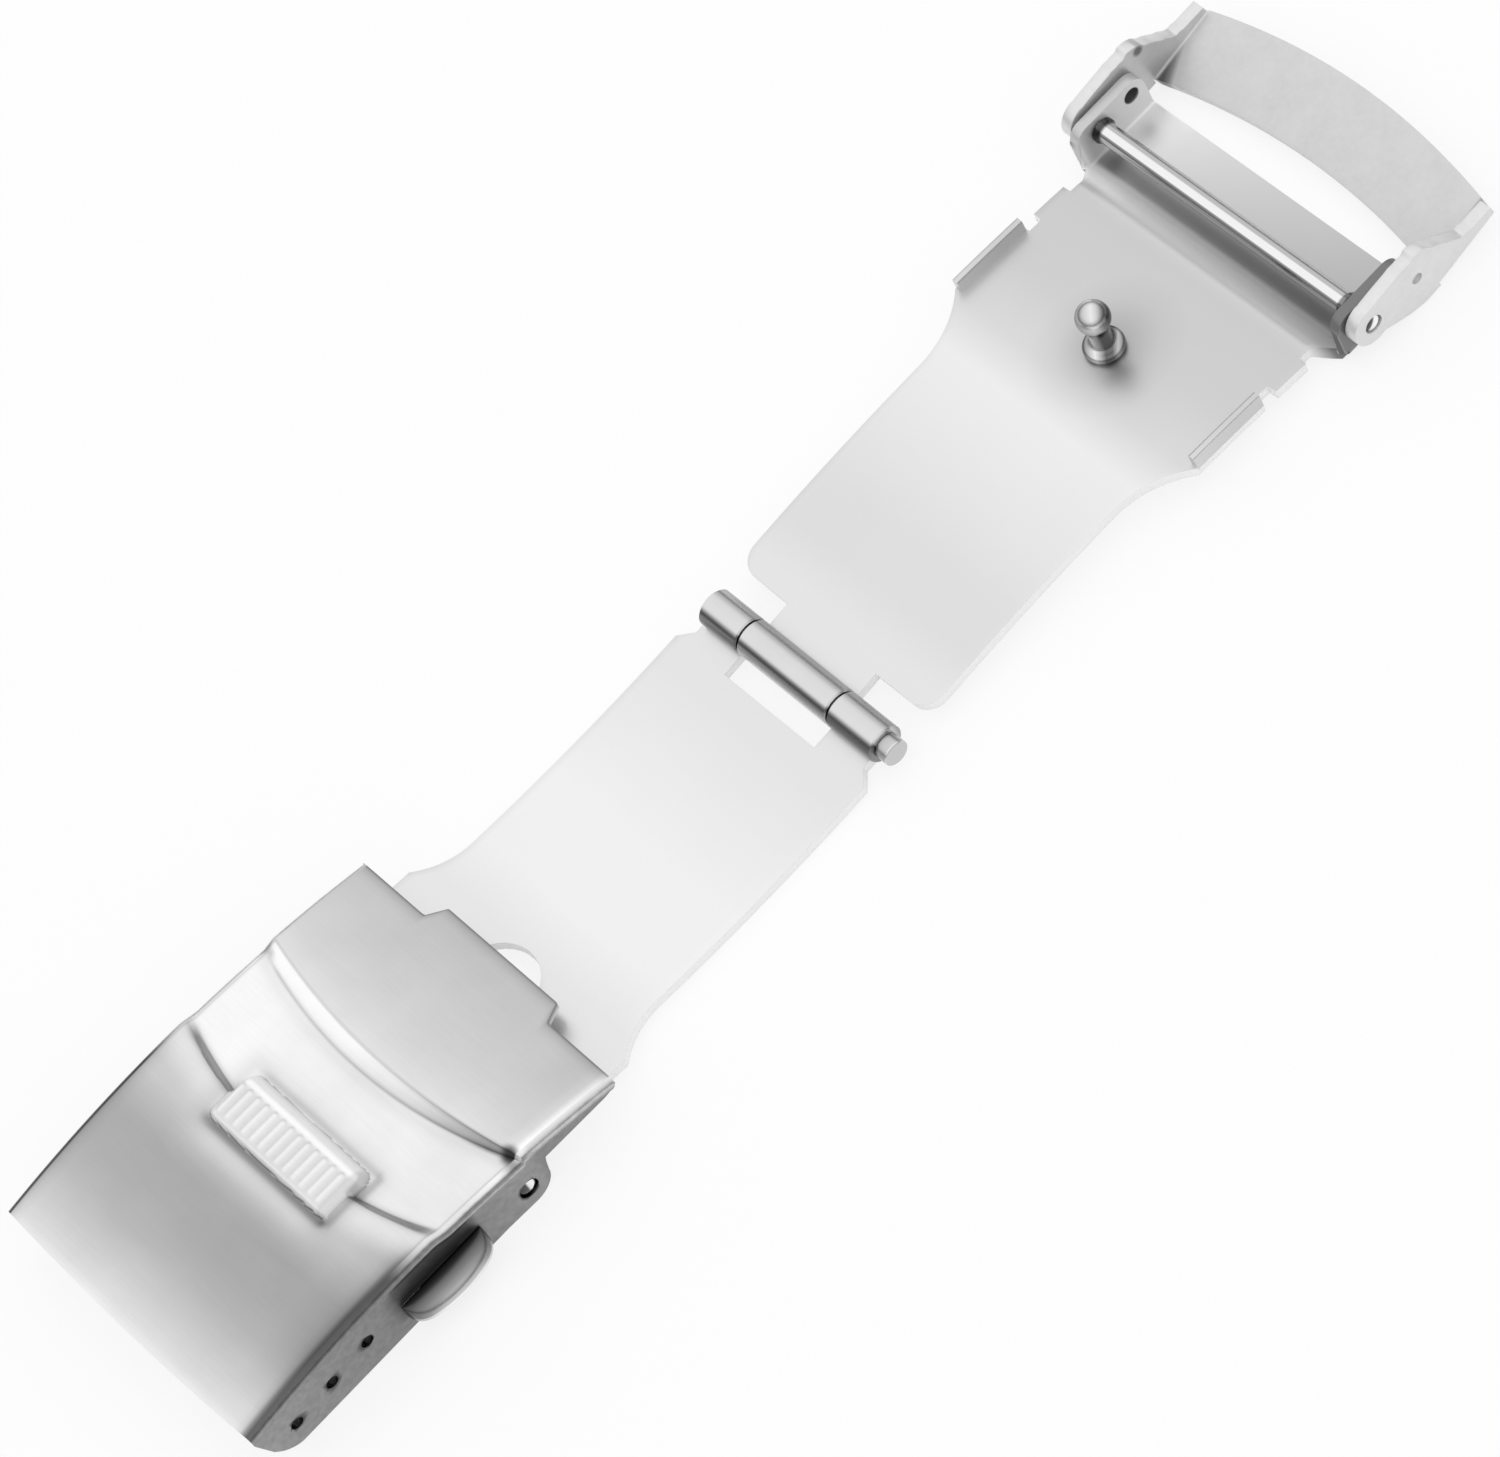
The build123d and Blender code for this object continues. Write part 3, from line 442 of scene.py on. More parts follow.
def coverGrids():
    # rows run along x between the end, the crease, the step and the tip; columns across and down both walls
    half = cover["half"]
    rear = np.concatenate([np.linspace(-18.7, -18.2, 6), np.linspace(-18.05, -16.8, 7), np.arange(-16.2, -9.0, 0.6),
                           np.arange(-8.9, -5.3, 0.1)])
    rearShare = (rear - rear[0]) / (rear[-1] - rear[0])
    seatShare = np.concatenate([np.linspace(0, 0.5, 34), np.linspace(0.55, 0.9, 8), np.linspace(0.93, 1, 4)])
    tongue = np.concatenate([[0.8, 1.0, 1.18, 1.25, 1.32, 1.38, 1.43, 1.5, 1.6, 1.8], np.arange(2.2, 5.9, 0.4),
                             np.linspace(6.1, 6.7, 9)])
    tongueShare = (tongue - tongue[0]) / (tongue[-1] - tongue[0])
    creaseRows = np.array([-0.08, 0.0, 0.08])
    stepShare = np.array([-0.12, 0.02, 0.1, 0.25, 0.45, 0.7, 0.9, 0.99, 1.08, 1.2])
    across = np.concatenate([np.arange(0, 4.95, 0.08), np.linspace(5.1, 8.4, 11),
                             np.linspace(8.6, half - cover["bend"], 9)])
    turn = np.radians(np.linspace(12, 90, 7))
    bendY = half - cover["bend"] + cover["bend"] * np.sin(turn)
    bendDrop = cover["bend"] * (1 - np.cos(turn))
    wallY = half - cover["wallInset"]
    share = np.linspace(0.08, 1, 10)
    lipY, lipDrop = [half, half - 0.01, wallY + 0.03, wallY], [0.52, 0.6, 0.64, cover["lip"]]
    halfY = np.concatenate([across, bendY, lipY, np.full(share.size, wallY)])
    halfDrop = np.concatenate([0 * across, bendDrop, lipDrop, 0 * share])
    halfWall = np.concatenate([0 * across, 0 * turn, [0, 0, 0, 0], share])
    inner = half - cover["wallInset"] - cover["wallSheet"]
    innerY = np.concatenate([across * inner / across[-1], np.full(turn.size + 4 + share.size, inner)])
    side = np.concatenate([-np.ones(halfY.size), np.ones(halfY.size - 1)])
    y, drop, wall, inY = mirrored(halfY) * side, mirrored(halfDrop), mirrored(halfWall), mirrored(innerY) * side
    isTop = mirrored(np.arange(halfY.size) < across.size)
    end, crease, step, stepTop, tip = coverLines(y)
    rows = [end + s * (crease - 0.12 - end) for s in rearShare] + [crease + d for d in creaseRows]
    rows += [crease + 0.14 + s * (step - 0.14 - crease - 0.14) for s in seatShare]
    rows += [step + s * (stepTop - step) for s in stepShare]
    rows += [stepTop + 0.2 + s * (tip - stepTop - 0.2) for s in tongueShare]
    x = np.array(rows)
    outY = y[None, :] + 0 * x
    top = coverTop(x, np.clip(outY, -half, half))
    low = wallBottom(x)
    lip = top - cover["lip"]
    z = np.where(wall[None, :] > 0, lip + wall[None, :] * (low - lip), top - drop[None, :])
    z = np.where(isTop[None, :], z, np.maximum(z, low))
    # the inner side: all its wall columns have the last one's x, so that the ones that meet are the same points
    column = np.where(isTop, np.arange(y.size), np.where(side < 0, 0, y.size - 1))
    inX, creaseIn, stepIn = x[:, column], crease[column], stepTop[column]
    wideSeat = ease(creaseIn - 0.8, creaseIn - 0.3, inX) * (1 - ease(stepIn + 0.1, stepIn + 0.6, inX))
    under = coverArc(inX) - cover["sheet"] - cover["seatDepth"] * wideSeat
    inZ = np.where(isTop[None, :], under, np.minimum(z, under - 0.1))
    outer = np.stack([x, outY, z], axis=-1)
    within = np.stack([inX, inY[None, :] + 0 * x, inZ], axis=-1)
    levels = coverLevel(x, outY, np.clip(top - z, 0, None), isTop[None, :], z)
    return outer, within, levels, coverShine(x, outY)


outer, within, levels, shine = coverGrids()
points, faces = closedShell(outer, within)
inside = np.ones(levels.size)
marks = {"level": np.concatenate([levels.ravel(), 0.85 * inside]),
         "shine": np.concatenate([shine.ravel(), 0.6 * inside])}
coverSkin = makePiece("coverSkin", points, faces, "cover", marks, ["cover_shell"], 28)
holes = [(cover["holeX"] + cover["holePitch"] * i, cover["holeZ"] + cover["holeRise"] * i, cover["holeRadius"], -past,
          past)
         for i in range(3)]
drill(coverSkin, holes + [(0, hingeHeight, cover["pinHole"], -past, past), (*cover["slot"], -past, past)])
print("cover made")


blades = {"sheet": 0.6, "barrel": 1.1, "bore": 0.63, "chamfer": 0.08, "narrow": 7.3, "wide1": 8.6, "radius1": 101.0,
          "radius2": 119.0, "rise": 0.4, "holeRadius": 2.3, "holeStart": 5.0, "holeEnd": 6.7, "prongReach": 1.2,
          "window": 3.5, "flare1": (3.4, 1.3), "flare2": (4.5, 1.8), "corner": 1.3, "arcEnd": 29.4, "ear": 9.7,
          "earBend": 0.5, "earTop": 3.4, "earRound": 0.9, "earFront": 1.6, "earBack": 3.4, "floor": 0.3,
          "pinHole": 0.5,
          "linkHole": 2.4, "rolls": ((3.52, 6.4), (-6.9, -3.52)), "middleRoll": 3.41,
          "tab": (21.1, 25.9, 0.42, 0.95, 0.15),
          "tabSides": (8.69, -9.11), "tabRise": 0.25}


def arcHeight(x, start, end, radius, side):
    # height of a circle of this radius through both ends; side 1 bulges up and -1 hangs down
    chord = np.hypot(end[0] - start[0], end[1] - start[1])
    reach = np.sqrt(radius ** 2 - (chord / 2) ** 2)
    centreX = (start[0] + end[0]) / 2 + side * (end[1] - start[1]) / chord * reach
    centreZ = (start[1] + end[1]) / 2 - side * (end[0] - start[0]) / chord * reach
    return centreZ + side * np.sqrt(radius ** 2 - (x - centreX) ** 2)


def knuckle(centre, low, high):
    # a tube with chamfered ends: its profile runs along the outside and back through the bore
    edge = blades["chamfer"]
    along = [low, low, low + edge, high - edge, high, high, low]
    outside, bore = blades["barrel"], blades["bore"]
    radius = [bore, outside - edge, outside, outside, outside - edge, bore, bore]
    return turnedGrid(along, radius, centre)


def flareWidth(length, rise, along):
    # narrow + R - sqrt(R^2 - along^2), an arc that widens a blade by this rise over this length
    radius = (length ** 2 + rise ** 2) / (2 * rise)
    return blades["narrow"] + radius - np.sqrt(radius ** 2 - np.clip(along, 0, length) ** 2)


def blade1Sheet():
    # rows along x, columns from the inner edge (hole or window) to the outer edge, on both sides
    middleX, middleZ = joints["middle"]
    turn = np.linspace(0, np.pi / 2, 14)
    r = blades["holeRadius"]
    flareEnd = 11.4
    prong = middleX - blades["barrel"] - blades["prongReach"]
    x = np.concatenate([np.linspace(0, 2.5, 8), blades["holeStart"] - r * np.cos(turn),
                        blades["holeEnd"] + r * np.sin(turn),
                        np.linspace(8.0, flareEnd, 16), np.linspace(11.6, prong, 30), [prong + 0.02],
                        np.linspace(prong + 0.1, prong + 0.8, 5), np.linspace(prong + 1.0, middleX, 6)])
    x = np.unique(x.round(4))
    high = np.where(x < 8, blades["wide1"], flareWidth(*blades["flare1"], flareEnd - x))
    high = np.where(x > prong, np.maximum(blades["narrow"] - (x - prong), 6.5), high)
    nearest = np.clip(x, blades["holeStart"], blades["holeEnd"])
    low = np.sqrt(np.clip(r ** 2 - (x - nearest) ** 2, 0, None))
    low = np.where(x > prong + 0.01, blades["window"], low)
    drop = blades["barrel"] - blades["sheet"] / 2
    z = arcHeight(x, (0, hingeHeight + drop), (middleX, middleZ - drop), blades["radius1"], -1)
    share = np.linspace(0, 1, 15)[None, :]
    y = low[:, None] + share * (high - low)[:, None]
    one = np.stack([x[:, None] + 0 * y, y, z[:, None] + 0 * y], axis=-1)
    return one, one * np.array([1, -1, 1])


def blade2Width(d):
    # half width of blade 2 at a distance d from the middle hinge
    r = blades["corner"]
    corner = blades["narrow"] - r + np.sqrt(np.clip(r ** 2 - np.clip(3.9 - d, 0, r) ** 2, 0, None))
    width = np.where(d < 3.9, corner, flareWidth(*blades["flare2"], d - 16.5))
    width = np.where(d < 2.61, 3.4, width)
    knots = [(25.89, 9.1), (25.91, 8.5), (26.79, 8.5), (26.81, 9.1), (28.99, 9.1), (29.01, 8.6), (29.8, 8.6),
             (30.9, 9.68),
             (40, 9.68)]
    return np.where(d > 25.8, np.interp(d, *zip(*knots)), width)


def blade2Height(x):
    # the sheet's middle: an arc, then a smooth fall to the floor strip before the lock bar
    middleX, middleZ = joints["middle"]
    start = (middleX, middleZ - blades["barrel"] + blades["sheet"] / 2)
    end = (middleX + blades["arcEnd"], start[1] + blades["rise"])
    bow = arcHeight(np.minimum(x, end[0]), start, end, blades["radius2"], 1)
    fall = ease(middleX + 29.45, middleX + 31.2, x)
    return bow * (1 - fall) + blades["floor"] * fall


def blade2Sheet():
    # rows along x; columns across the flat, then round the bend and up the ear, which starts earFront before the bar
    middleX = joints["middle"][0]
    front, back = barX - blades["earFront"], barX + blades["earBack"]
    d = np.concatenate([np.linspace(0, 2.6, 5), [2.62], np.linspace(2.7, 3.9, 9), np.linspace(4.5, 16.5, 18),
                        np.linspace(16.8, 21.0, 18), np.linspace(21.5, 25.5, 9), [25.88, 25.92, 26.78, 26.82],
                        np.linspace(27.3, 28.7, 6), [28.98, 29.02], np.linspace(29.2, 30.86, 14)])
    x = np.concatenate([middleX + d, [front, front + 0.02], np.linspace(barX - 1.4, barX - 0.7, 8),
                        np.linspace(barX - 0.4, barX + 2.3, 8), np.linspace(barX + 2.5, back, 10)])
    isEar = x > front + 0.01
    width = np.where(isEar, blades["ear"] - blades["earBend"], blade2Width(x - middleX))
    share = np.linspace(0, 1, 21)
    flatY = width[:, None] * share[None, :]
    z = blade2Height(x)[:, None]
    flatZ = z + 0 * flatY
    turn = np.radians(np.linspace(15, 90, 6))[None, :]
    bendY = width[:, None] + blades["earBend"] * np.sin(turn)
    bendZ = z + blades["earBend"] * (1 - np.cos(turn))
    r = blades["earRound"]
    gap = np.minimum(np.minimum(x - front, back - x), r)
    top = blades["earTop"] - r + np.sqrt(np.clip(r ** 2 - (r - gap) ** 2, 0, None))
    rise = np.linspace(0.1, 1, 10)[None, :]
    earZ = bendZ[:, -1:] + rise * (top[:, None] - bendZ[:, -1:])
    earY = bendY[:, -1:] + 0 * rise
    keep = isEar[:, None]
    bendY, bendZ = np.where(keep, bendY, width[:, None]), np.where(keep, bendZ, z)
    earY, earZ = np.where(keep, earY, width[:, None]), np.where(keep, earZ, z)
    y = np.concatenate([flatY, bendY, earY], axis=1)
    height = np.concatenate([flatZ, bendZ, earZ], axis=1)
    one = np.stack([x[:, None] + 0 * y, y, height], axis=-1)
    return one, one * np.array([1, -1, 1])


def bar(lowX, highX, lowY, highY, base, height, edge):
    # a rounded ridge: its section is a box with round top corners, carried along x over base(x), with closed ends
    x = np.concatenate([[lowX], np.linspace(lowX, highX, 16), [highX]])
    turn = np.radians(np.linspace(0, 90, 5))
    near, far = edge * (1 - np.cos(turn)), edge * (1 - np.sin(turn))
    sunk = -0.1
    sectionY = np.concatenate([[lowY], lowY + near, highY - far, [highY, lowY]])
    sectionZ = np.concatenate([[sunk], height - far, height - near, [sunk, sunk]])
    y = sectionY[None, :] + 0 * x[:, None]
    z = base(x)[:, None] + sectionZ[None, :]
    middle = (lowY + highY) / 2
    y[[0, -1]] = middle
    z[[0, -1]] = (base(x[[0, -1]]) + height / 2)[:, None]
    return np.stack([x[:, None] + 0 * y, y, z], axis=-1)


def tabGrids():
    # the two ridges on blade 2, one along each side, standing in its upper face
    start, end, width, height, edge = blades["tab"]
    middleX = joints["middle"][0]

    def base(x):
        return blade2Height(x) + blades["tabRise"]

    return [bar(middleX + start, middleX + end, low, low + width, base, height, edge) for low in blades["tabSides"]]


hingeCentre = (0.0, hingeHeight)
points, faces = joinGrids(blade1Sheet())
blade1 = makePiece("bladeOne", points, faces, "inner_blade", None, ["blade_1"])
thicken(blade1, blades["sheet"])
settle(blade1)
rolls = [knuckle(hingeCentre, -blades["wide1"], blades["wide1"])]
rolls += [knuckle(joints["middle"], low, high) for low, high in blades["rolls"]]
points, faces = joinGrids(rolls)
blade1Rolls = makePiece("bladeOneRolls", points, faces, "inner_blade")

points, faces = joinGrids(blade2Sheet())
blade2 = makePiece("bladeTwo", points, faces, "outer_blade", None, ["blade_2"])
thicken(blade2, blades["sheet"] + 0.04)
settle(blade2)
drill(blade2, [(barX + reach, barZ, blades["pinHole"], -past, past) for reach in (0, blades["linkHole"])])
points, faces = joinGrids([knuckle(joints["middle"], -blades["middleRoll"], blades["middleRoll"])])
blade2Roll = makePiece("bladeTwoRoll", points, faces, "outer_blade")
points, faces = joinGrids(tabGrids())
blade2Tabs = makePiece("bladeTwoTabs", points, faces, "outer_blade")
print("blades made")


peg = {"distance": 23.3, "ball": 0.96, "height": 3.8, "foot": 1.0, "bead": 0.3, "beadCentre": 0.86,
       "neck": [0.7, 0.63, 0.6],
       "neckHeights": [0.64, 0.8, 1.6], "sunk": -0.2}


def pegGrid():
    # rings up the peg's own axis: foot, bead, neck and ball, leaning with the blade
    turn = np.radians(np.linspace(-51, 90, 26))
    ballZ = peg["height"] - peg["ball"]
    around = np.radians(np.linspace(-70, 80, 9))
    bead, sunk = peg["bead"], peg["sunk"]
    radius = np.concatenate([[0, peg["foot"]], peg["beadCentre"] + bead * np.cos(around), peg["neck"],
                             peg["ball"] * np.cos(turn)])
    height = np.concatenate([[sunk, sunk], bead + bead * np.sin(around), peg["neckHeights"],
                             ballZ + peg["ball"] * np.sin(turn)])
    angle = np.linspace(0, 2 * np.pi, 49)[None, :]
    along, out = height[:, None], radius[:, None]
    baseX = joints["middle"][0] + peg["distance"]
    slope = (blade2Height(baseX + 0.1) - blade2Height(baseX - 0.1)) / 0.2
    lean = -np.arctan(slope)
    foot = blade2Height(baseX) + blades["sheet"] / 2
    x = baseX + out * np.cos(angle) * np.cos(lean) + along * np.sin(lean)
    z = foot - out * np.cos(angle) * np.sin(lean) + along * np.cos(lean)
    return np.stack([x, out * np.sin(angle), z], axis=-1)


points, faces = joinGrids([pegGrid()])
ballPeg = makePiece("ballPeg", points, faces, "outer_blade", None, ["catch_peg"], 60)

pins = {"tube": 0.61, "flange": 0.74, "flangeEnds": (8.98, 9.2), "edge": 0.06, "tip": 0.51, "tipStart": 6.35,
        "tipEnd": 10.78, "tipDome": 0.2, "shank": 0.6, "shankEnd": 6.4, "head": 0.76, "headStart": -6.91,
        "headEnd": -7.75,
        "headEdge": 0.1, "cover": 0.56, "coverEnd": 9.68, "coverDome": 0.17}


def barGrid():
    # the lock bar's tube with a flange near each end, from its middle outwards and the same the other way
    start, end = pins["flangeEnds"]
    edge, flange = pins["edge"], pins["flange"]
    along = np.array([start - 2 * edge, start - edge, start, end, end + 0.05, end + 0.05])
    radius = [pins["tube"], flange - edge, flange, flange, flange - edge, 0]
    return turnedGrid(np.concatenate([-along[::-1], along]), radius[::-1] + radius, joints["bar"])


points, faces = joinGrids([barGrid()])
lockBar = makePiece("lockBar", points, faces, "outer_blade", None, ["lock_bar_tube"])


def tipGrid(side):
    # a pin with a domed end: its radius falls as a quarter of an ellipse over the dome
    turn = np.radians(np.linspace(0, 90, 8))
    start, end, tip = pins["tipStart"], pins["tipEnd"], pins["tip"]
    along = np.concatenate([[start, start, end], end + pins["tipDome"] * np.sin(turn)])
    radius = np.concatenate([[0, tip, tip], tip * np.cos(turn)])
    return turnedGrid(side * along, radius, joints["bar"], 32)


def middlePinGrid():
    # a plain shank, and a head with a flat end and a round edge
    turn = np.radians(np.linspace(0, 90, 6))
    head, start, end, edge = pins["head"], pins["headStart"], pins["headEnd"], pins["headEdge"]
    along = np.concatenate([[end], end + edge - edge * np.cos(turn), [start - pins["edge"], start, start],
                            [pins["shankEnd"]] * 2])
    radius = np.concatenate([[0], head - edge + edge * np.sin(turn), [head, head - pins["edge"]], [pins["shank"]] * 2,
                             [0]])
    return turnedGrid(along, radius, joints["middle"])


def coverPinGrid():
    # a plain pin with both ends domed
    dome = np.radians(np.linspace(0, 90, 9))
    half = pins["coverEnd"] + pins["coverDome"] * np.cos(dome)
    radius = pins["cover"] * np.sin(dome)
    return turnedGrid(np.concatenate([-half, half[::-1]]), np.concatenate([radius, radius[::-1]]), hingeCentre)


tips = {}
for label, side in (("left", 1), ("right", -1)):
    points, faces = joinGrids([tipGrid(side)])
    tips[label] = makePiece("lockBarTip." + label, points, faces, "tip_" + label, None,
                            ["lock_bar_tip_" + label])

points, faces = joinGrids([middlePinGrid()])
middlePin = makePiece("middlePin", points, faces, "inner_blade", None, ["middle_hinge_pin"])
points, faces = joinGrids([coverPinGrid()])
coverPin = makePiece("coverPin", points, faces, "cover", None, ["cover_hinge_pin"])
print("pins made")


lock = {"bandIn": 3.85, "bandOut": 8.4, "bowIn": 1.3, "bowOut": 1.4, "bandV": 2.95, "arm": 10.6, "bend": 0.5,
        "sheet": 0.74, "nose": 1.3, "pinHole": 0.56, "dimple": (3.2, 0.63), "dimpleRadius": 0.34, "dimpleFrom": 10.7}


def lockPoint(u, v, y):
    # u along the band and v towards it, turned by the lock's heading about the bar
    turn = np.radians(joints["lockHeading"])
    return np.stack([barX + u * np.cos(turn) + v * np.sin(turn), y, barZ + u * np.sin(turn) - v * np.cos(turn)],
                    axis=-1)


def armEdges(u):
    # back and free edge of an arm; the free edge is worn wavy beyond its knee
    backKnots = [(0.0, 1.3), (0.2, 1.28), (0.9, 1.8), (1.8, 2.4), (2.7, 2.8), (3.85, 2.95)]
    freeKnots = [(0.0, -1.25), (1.2, -1.2), (2.4, -1.1), (3.6, -1.0), (4.5, -0.75), (5.1, 0.1), (5.6, 0.9),
                 (6.2, 1.5), (6.9, 1.85), (8.4, 2.1)]
    nose = lock["nose"]
    circle = np.sqrt(np.clip(nose ** 2 - np.clip(u, -nose, 0) ** 2, 0, None))
    back = np.where(u < 0, circle, np.interp(u, *zip(*backKnots)))
    free = np.where(u < 0, -circle, np.interp(u, *zip(*freeKnots)))
    wave = 0.09 * np.sin(u * 4.1 + 0.6) + 0.05 * np.sin(u * 9.3)
    return back, free + wave * ease(2.2, 3.4, u) * ease(7.2, 6.4, u)


def lockGrids():
    # the band's rows run from its inner to its outer edge, and its columns across it and up into both arms
    rows = np.linspace(0, 1, 19)
    u = lock["bandIn"] + rows * (lock["bandOut"] - lock["bandIn"])
    flat = np.linspace(-(lock["arm"] - lock["bend"]), lock["arm"] - lock["bend"], 57)
    turn = np.radians(np.linspace(0, 90, 7))
    bendY = lock["arm"] - lock["bend"] + lock["bend"] * np.sin(turn)
    bendV = lock["bandV"] - lock["bend"] * (1 - np.cos(turn))
    y = np.concatenate([-bendY[::-1], flat[1:-1], bendY])
    v = np.concatenate([bendV[::-1], np.full(flat.size - 2, lock["bandV"]), bendV])
    bow = 1 - np.clip(np.abs(y) / lock["arm"], 0, 1) ** 2
    inEdge, outEdge = lock["bandIn"] + lock["bowIn"] * bow, lock["bandOut"] + lock["bowOut"] * bow
    bandU = inEdge[None, :] + rows[:, None] * (outEdge - inEdge)[None, :]
    grids = [lockPoint(bandU, v[None, :] + 0 * bandU, y[None, :] + 0 * bandU)]
    arm = np.concatenate([-lock["nose"] * np.cos(np.linspace(0, np.pi / 2, 12)), np.linspace(0.2, 3.83, 22), u])
    back, free = armEdges(arm)
    back = np.where(arm >= lock["bandIn"] - 1e-6, lock["bandV"] - lock["bend"], back)
    share = np.linspace(0, 1, 11)[None, :]
    armV = free[:, None] + share * (back - free)[:, None]
    for side in (1, -1):
        grids.append(lockPoint(arm[:, None] + 0 * armV, armV, side * lock["arm"] + 0 * armV))
    return grids


points, faces = joinGrids(lockGrids())
flipLock = makePiece("flipLock", points, faces, "bail", None, ["flip_lock"])
thicken(flipLock, lock["sheet"])
settle(flipLock)
dimple = lockPoint(*lock["dimple"], 0.0)
dimples = [(dimple[0], dimple[2], lock["dimpleRadius"], low, high) for low, high in
           ((lock["dimpleFrom"], past), (-past, -lock["dimpleFrom"]))]
drill(flipLock, [(barX, barZ, lock["pinHole"], -past, past)] + dimples)
print("flip lock made")


button = {"x": -5.93, "half": 2.82, "low": 1.09, "high": 2.32, "start": 9.86, "side": 10.78, "outer": 11.36,
          "under": 0.32, "edge": 0.22, "catchX": -5.33,
          "blocks": [(-7.33, -3.33, 4.05, 10.6, 1.45, 1.95), (-4.18, -3.33, -2.3, 4.1, 1.45, 1.95),
                     (-6.38, -3.5, -2.3, -0.72, 1.45, 1.95), (-9.03, -7.3, 5.5, 6.1, 1.45, 2.65)]}


def blockGrid(lowX, highX, lowY, highY, lowZ, highZ, edge=0.06):
    # a rectangle with cut corners carried along x, drawn in at both ends and closed there
    y = np.array([lowY + edge, highY - edge, highY, highY, highY - edge, lowY + edge, lowY, lowY, lowY + edge])
    z = np.array([lowZ, lowZ, lowZ + edge, highZ - edge, highZ, highZ, highZ - edge, lowZ + edge, lowZ])
    middle = np.array([[(lowY + highY) / 2], [(lowZ + highZ) / 2]])
    along = np.array([lowX, lowX, lowX + edge, highX - edge, highX, highX])
    inset = np.array([[edge], [edge]]) / np.array([[highY - lowY], [highZ - lowZ]]) * 2
    full = np.stack([y, z])
    drawnIn = middle + (full - middle) * (1 - inset)
    rings = np.stack([middle + 0 * full, drawnIn, full, full, drawnIn, middle + 0 * full])
    return np.stack([along[:, None] + 0 * rings[:, 0], rings[:, 0], rings[:, 1]], axis=-1)


def buttonGrid(side):
    # sections along x: a quarter ellipse from the wall to the outer edge, then a small round edge under it;
    # its reach follows an arc with round ends
    share = np.sin(np.linspace(-np.pi / 2, np.pi / 2, 33))
    x = button["x"] + button["half"] * share
    reach = button["side"] + (button["outer"] - button["side"]) * (1 - share ** 2)
    reach = button["start"] + (reach - button["start"]) * np.sqrt(np.clip(1 - np.abs(share) ** 10, 0, 1))
    width = (reach - button["start"])[:, None]
    turn = np.radians(np.linspace(0, 90, 13))[None, :]
    knee = button["low"] + button["under"]
    outY = button["start"] + width * np.sin(turn)
    outZ = knee + (button["high"] - knee) * np.cos(turn) ** 0.8
    under = np.radians(np.linspace(15, 90, 5))[None, :]
    edge = np.minimum(button["edge"], width * 0.8)
    underY = button["start"] + width - edge * (1 - np.cos(under))
    underZ = knee - button["under"] * np.sin(under) + 0 * edge
    start, low = button["start"] + 0 * width, button["low"] + 0 * width
    y = np.concatenate([outY, underY, start, start], axis=1)
    z = np.concatenate([outZ + 0 * width, underZ, low, button["high"] + 0 * width], axis=1)
    grid = np.stack([x[:, None] + 0 * y, y, z], axis=-1)
    cap = np.stack([x[[0, -1]], [button["start"]] * 2, [(button["low"] + button["high"]) / 2] * 2], axis=-1)
    ends = cap[:, None, :] + 0 * grid[[0, -1]]
    grid = np.concatenate([ends[:1], grid, ends[1:]])
    return grid * np.array([1, side, 1])


caps = {}
for label, side in (("left", 1), ("right", -1)):
    parts = [blockGrid(*sizes) for sizes in button["blocks"]]
    if side < 0:  # the other slider is the same one turned half round, so that the two hooks pass each other
        parts = [part * np.array([-1, -1, 1]) + np.array([2 * button["catchX"], 0, 0]) for part in parts]
    points, faces = joinGrids([buttonGrid(side)] + parts)
    caps[label] = makePiece("pushButton." + label, points, faces, "button_" + label, None,
                            ["push_button_" + label], 40)
print("buttons made")


looks = {
    "cover": {"colour": (1.0, 1.0, 1.01), "grain": "y", "grainTone": 0.12, "cloudTone": 0.15, "cloudScale": 330,
              "rough": 0.34,
              "grainRough": 0.1, "cloudRough": 0.06, "bump": 0.12},
    "blade": {"colour": (1.0, 1.0, 1.005), "grain": "x", "grainTone": 0.03, "cloudTone": 0.04, "cloudScale": 180,
              "rough": 0.36,
              "grainRough": 0.08, "cloudRough": 0.05, "bump": 0.06},
    "lock": {"colour": (1.0, 1.0, 1.0), "grain": "none", "grainTone": 0.16, "cloudTone": 0.16, "cloudScale": 520,
             "rough": 0.38,
             "grainRough": 0.12, "cloudRough": 0.12, "bump": 0.2},
    "knee": {"colour": (1.0, 1.0, 1.01), "grain": "y", "grainTone": 0.06, "cloudTone": 0.1, "cloudScale": 400,
             "rough": 0.25,
             "grainRough": 0.08, "cloudRough": 0.05, "bump": 0.1},
    "peg": {"colour": (1.0, 1.0, 1.01), "grain": "none", "grainTone": 0.06, "cloudTone": 0.08, "cloudScale": 700,
            "rough": 0.24,
            "grainRough": 0.06, "cloudRough": 0.05, "bump": 0.06},
    "polished": {"colour": (1.0, 1.0, 1.01), "grain": "y", "grainTone": 0.05, "cloudTone": 0.05, "cloudScale": 600,
                 "rough": 0.16,
                 "grainRough": 0.05, "cloudRough": 0.05, "bump": 0.04},
    "button": {"colour": (1.0, 1.0, 1.01), "grain": "x", "grainTone": 0.18, "cloudTone": 0.2, "cloudScale": 500,
               "rough": 0.3,
               "grainRough": 0.1, "cloudRough": 0.08, "bump": 0.12},
    "spring": {"colour": (0.62, 0.62, 0.64), "grain": "none", "grainTone": 0.1, "cloudTone": 0.1, "cloudScale": 700,
               "rough": 0.35,
               "grainRough": 0.1, "cloudRough": 0.1, "bump": 0.1},
}


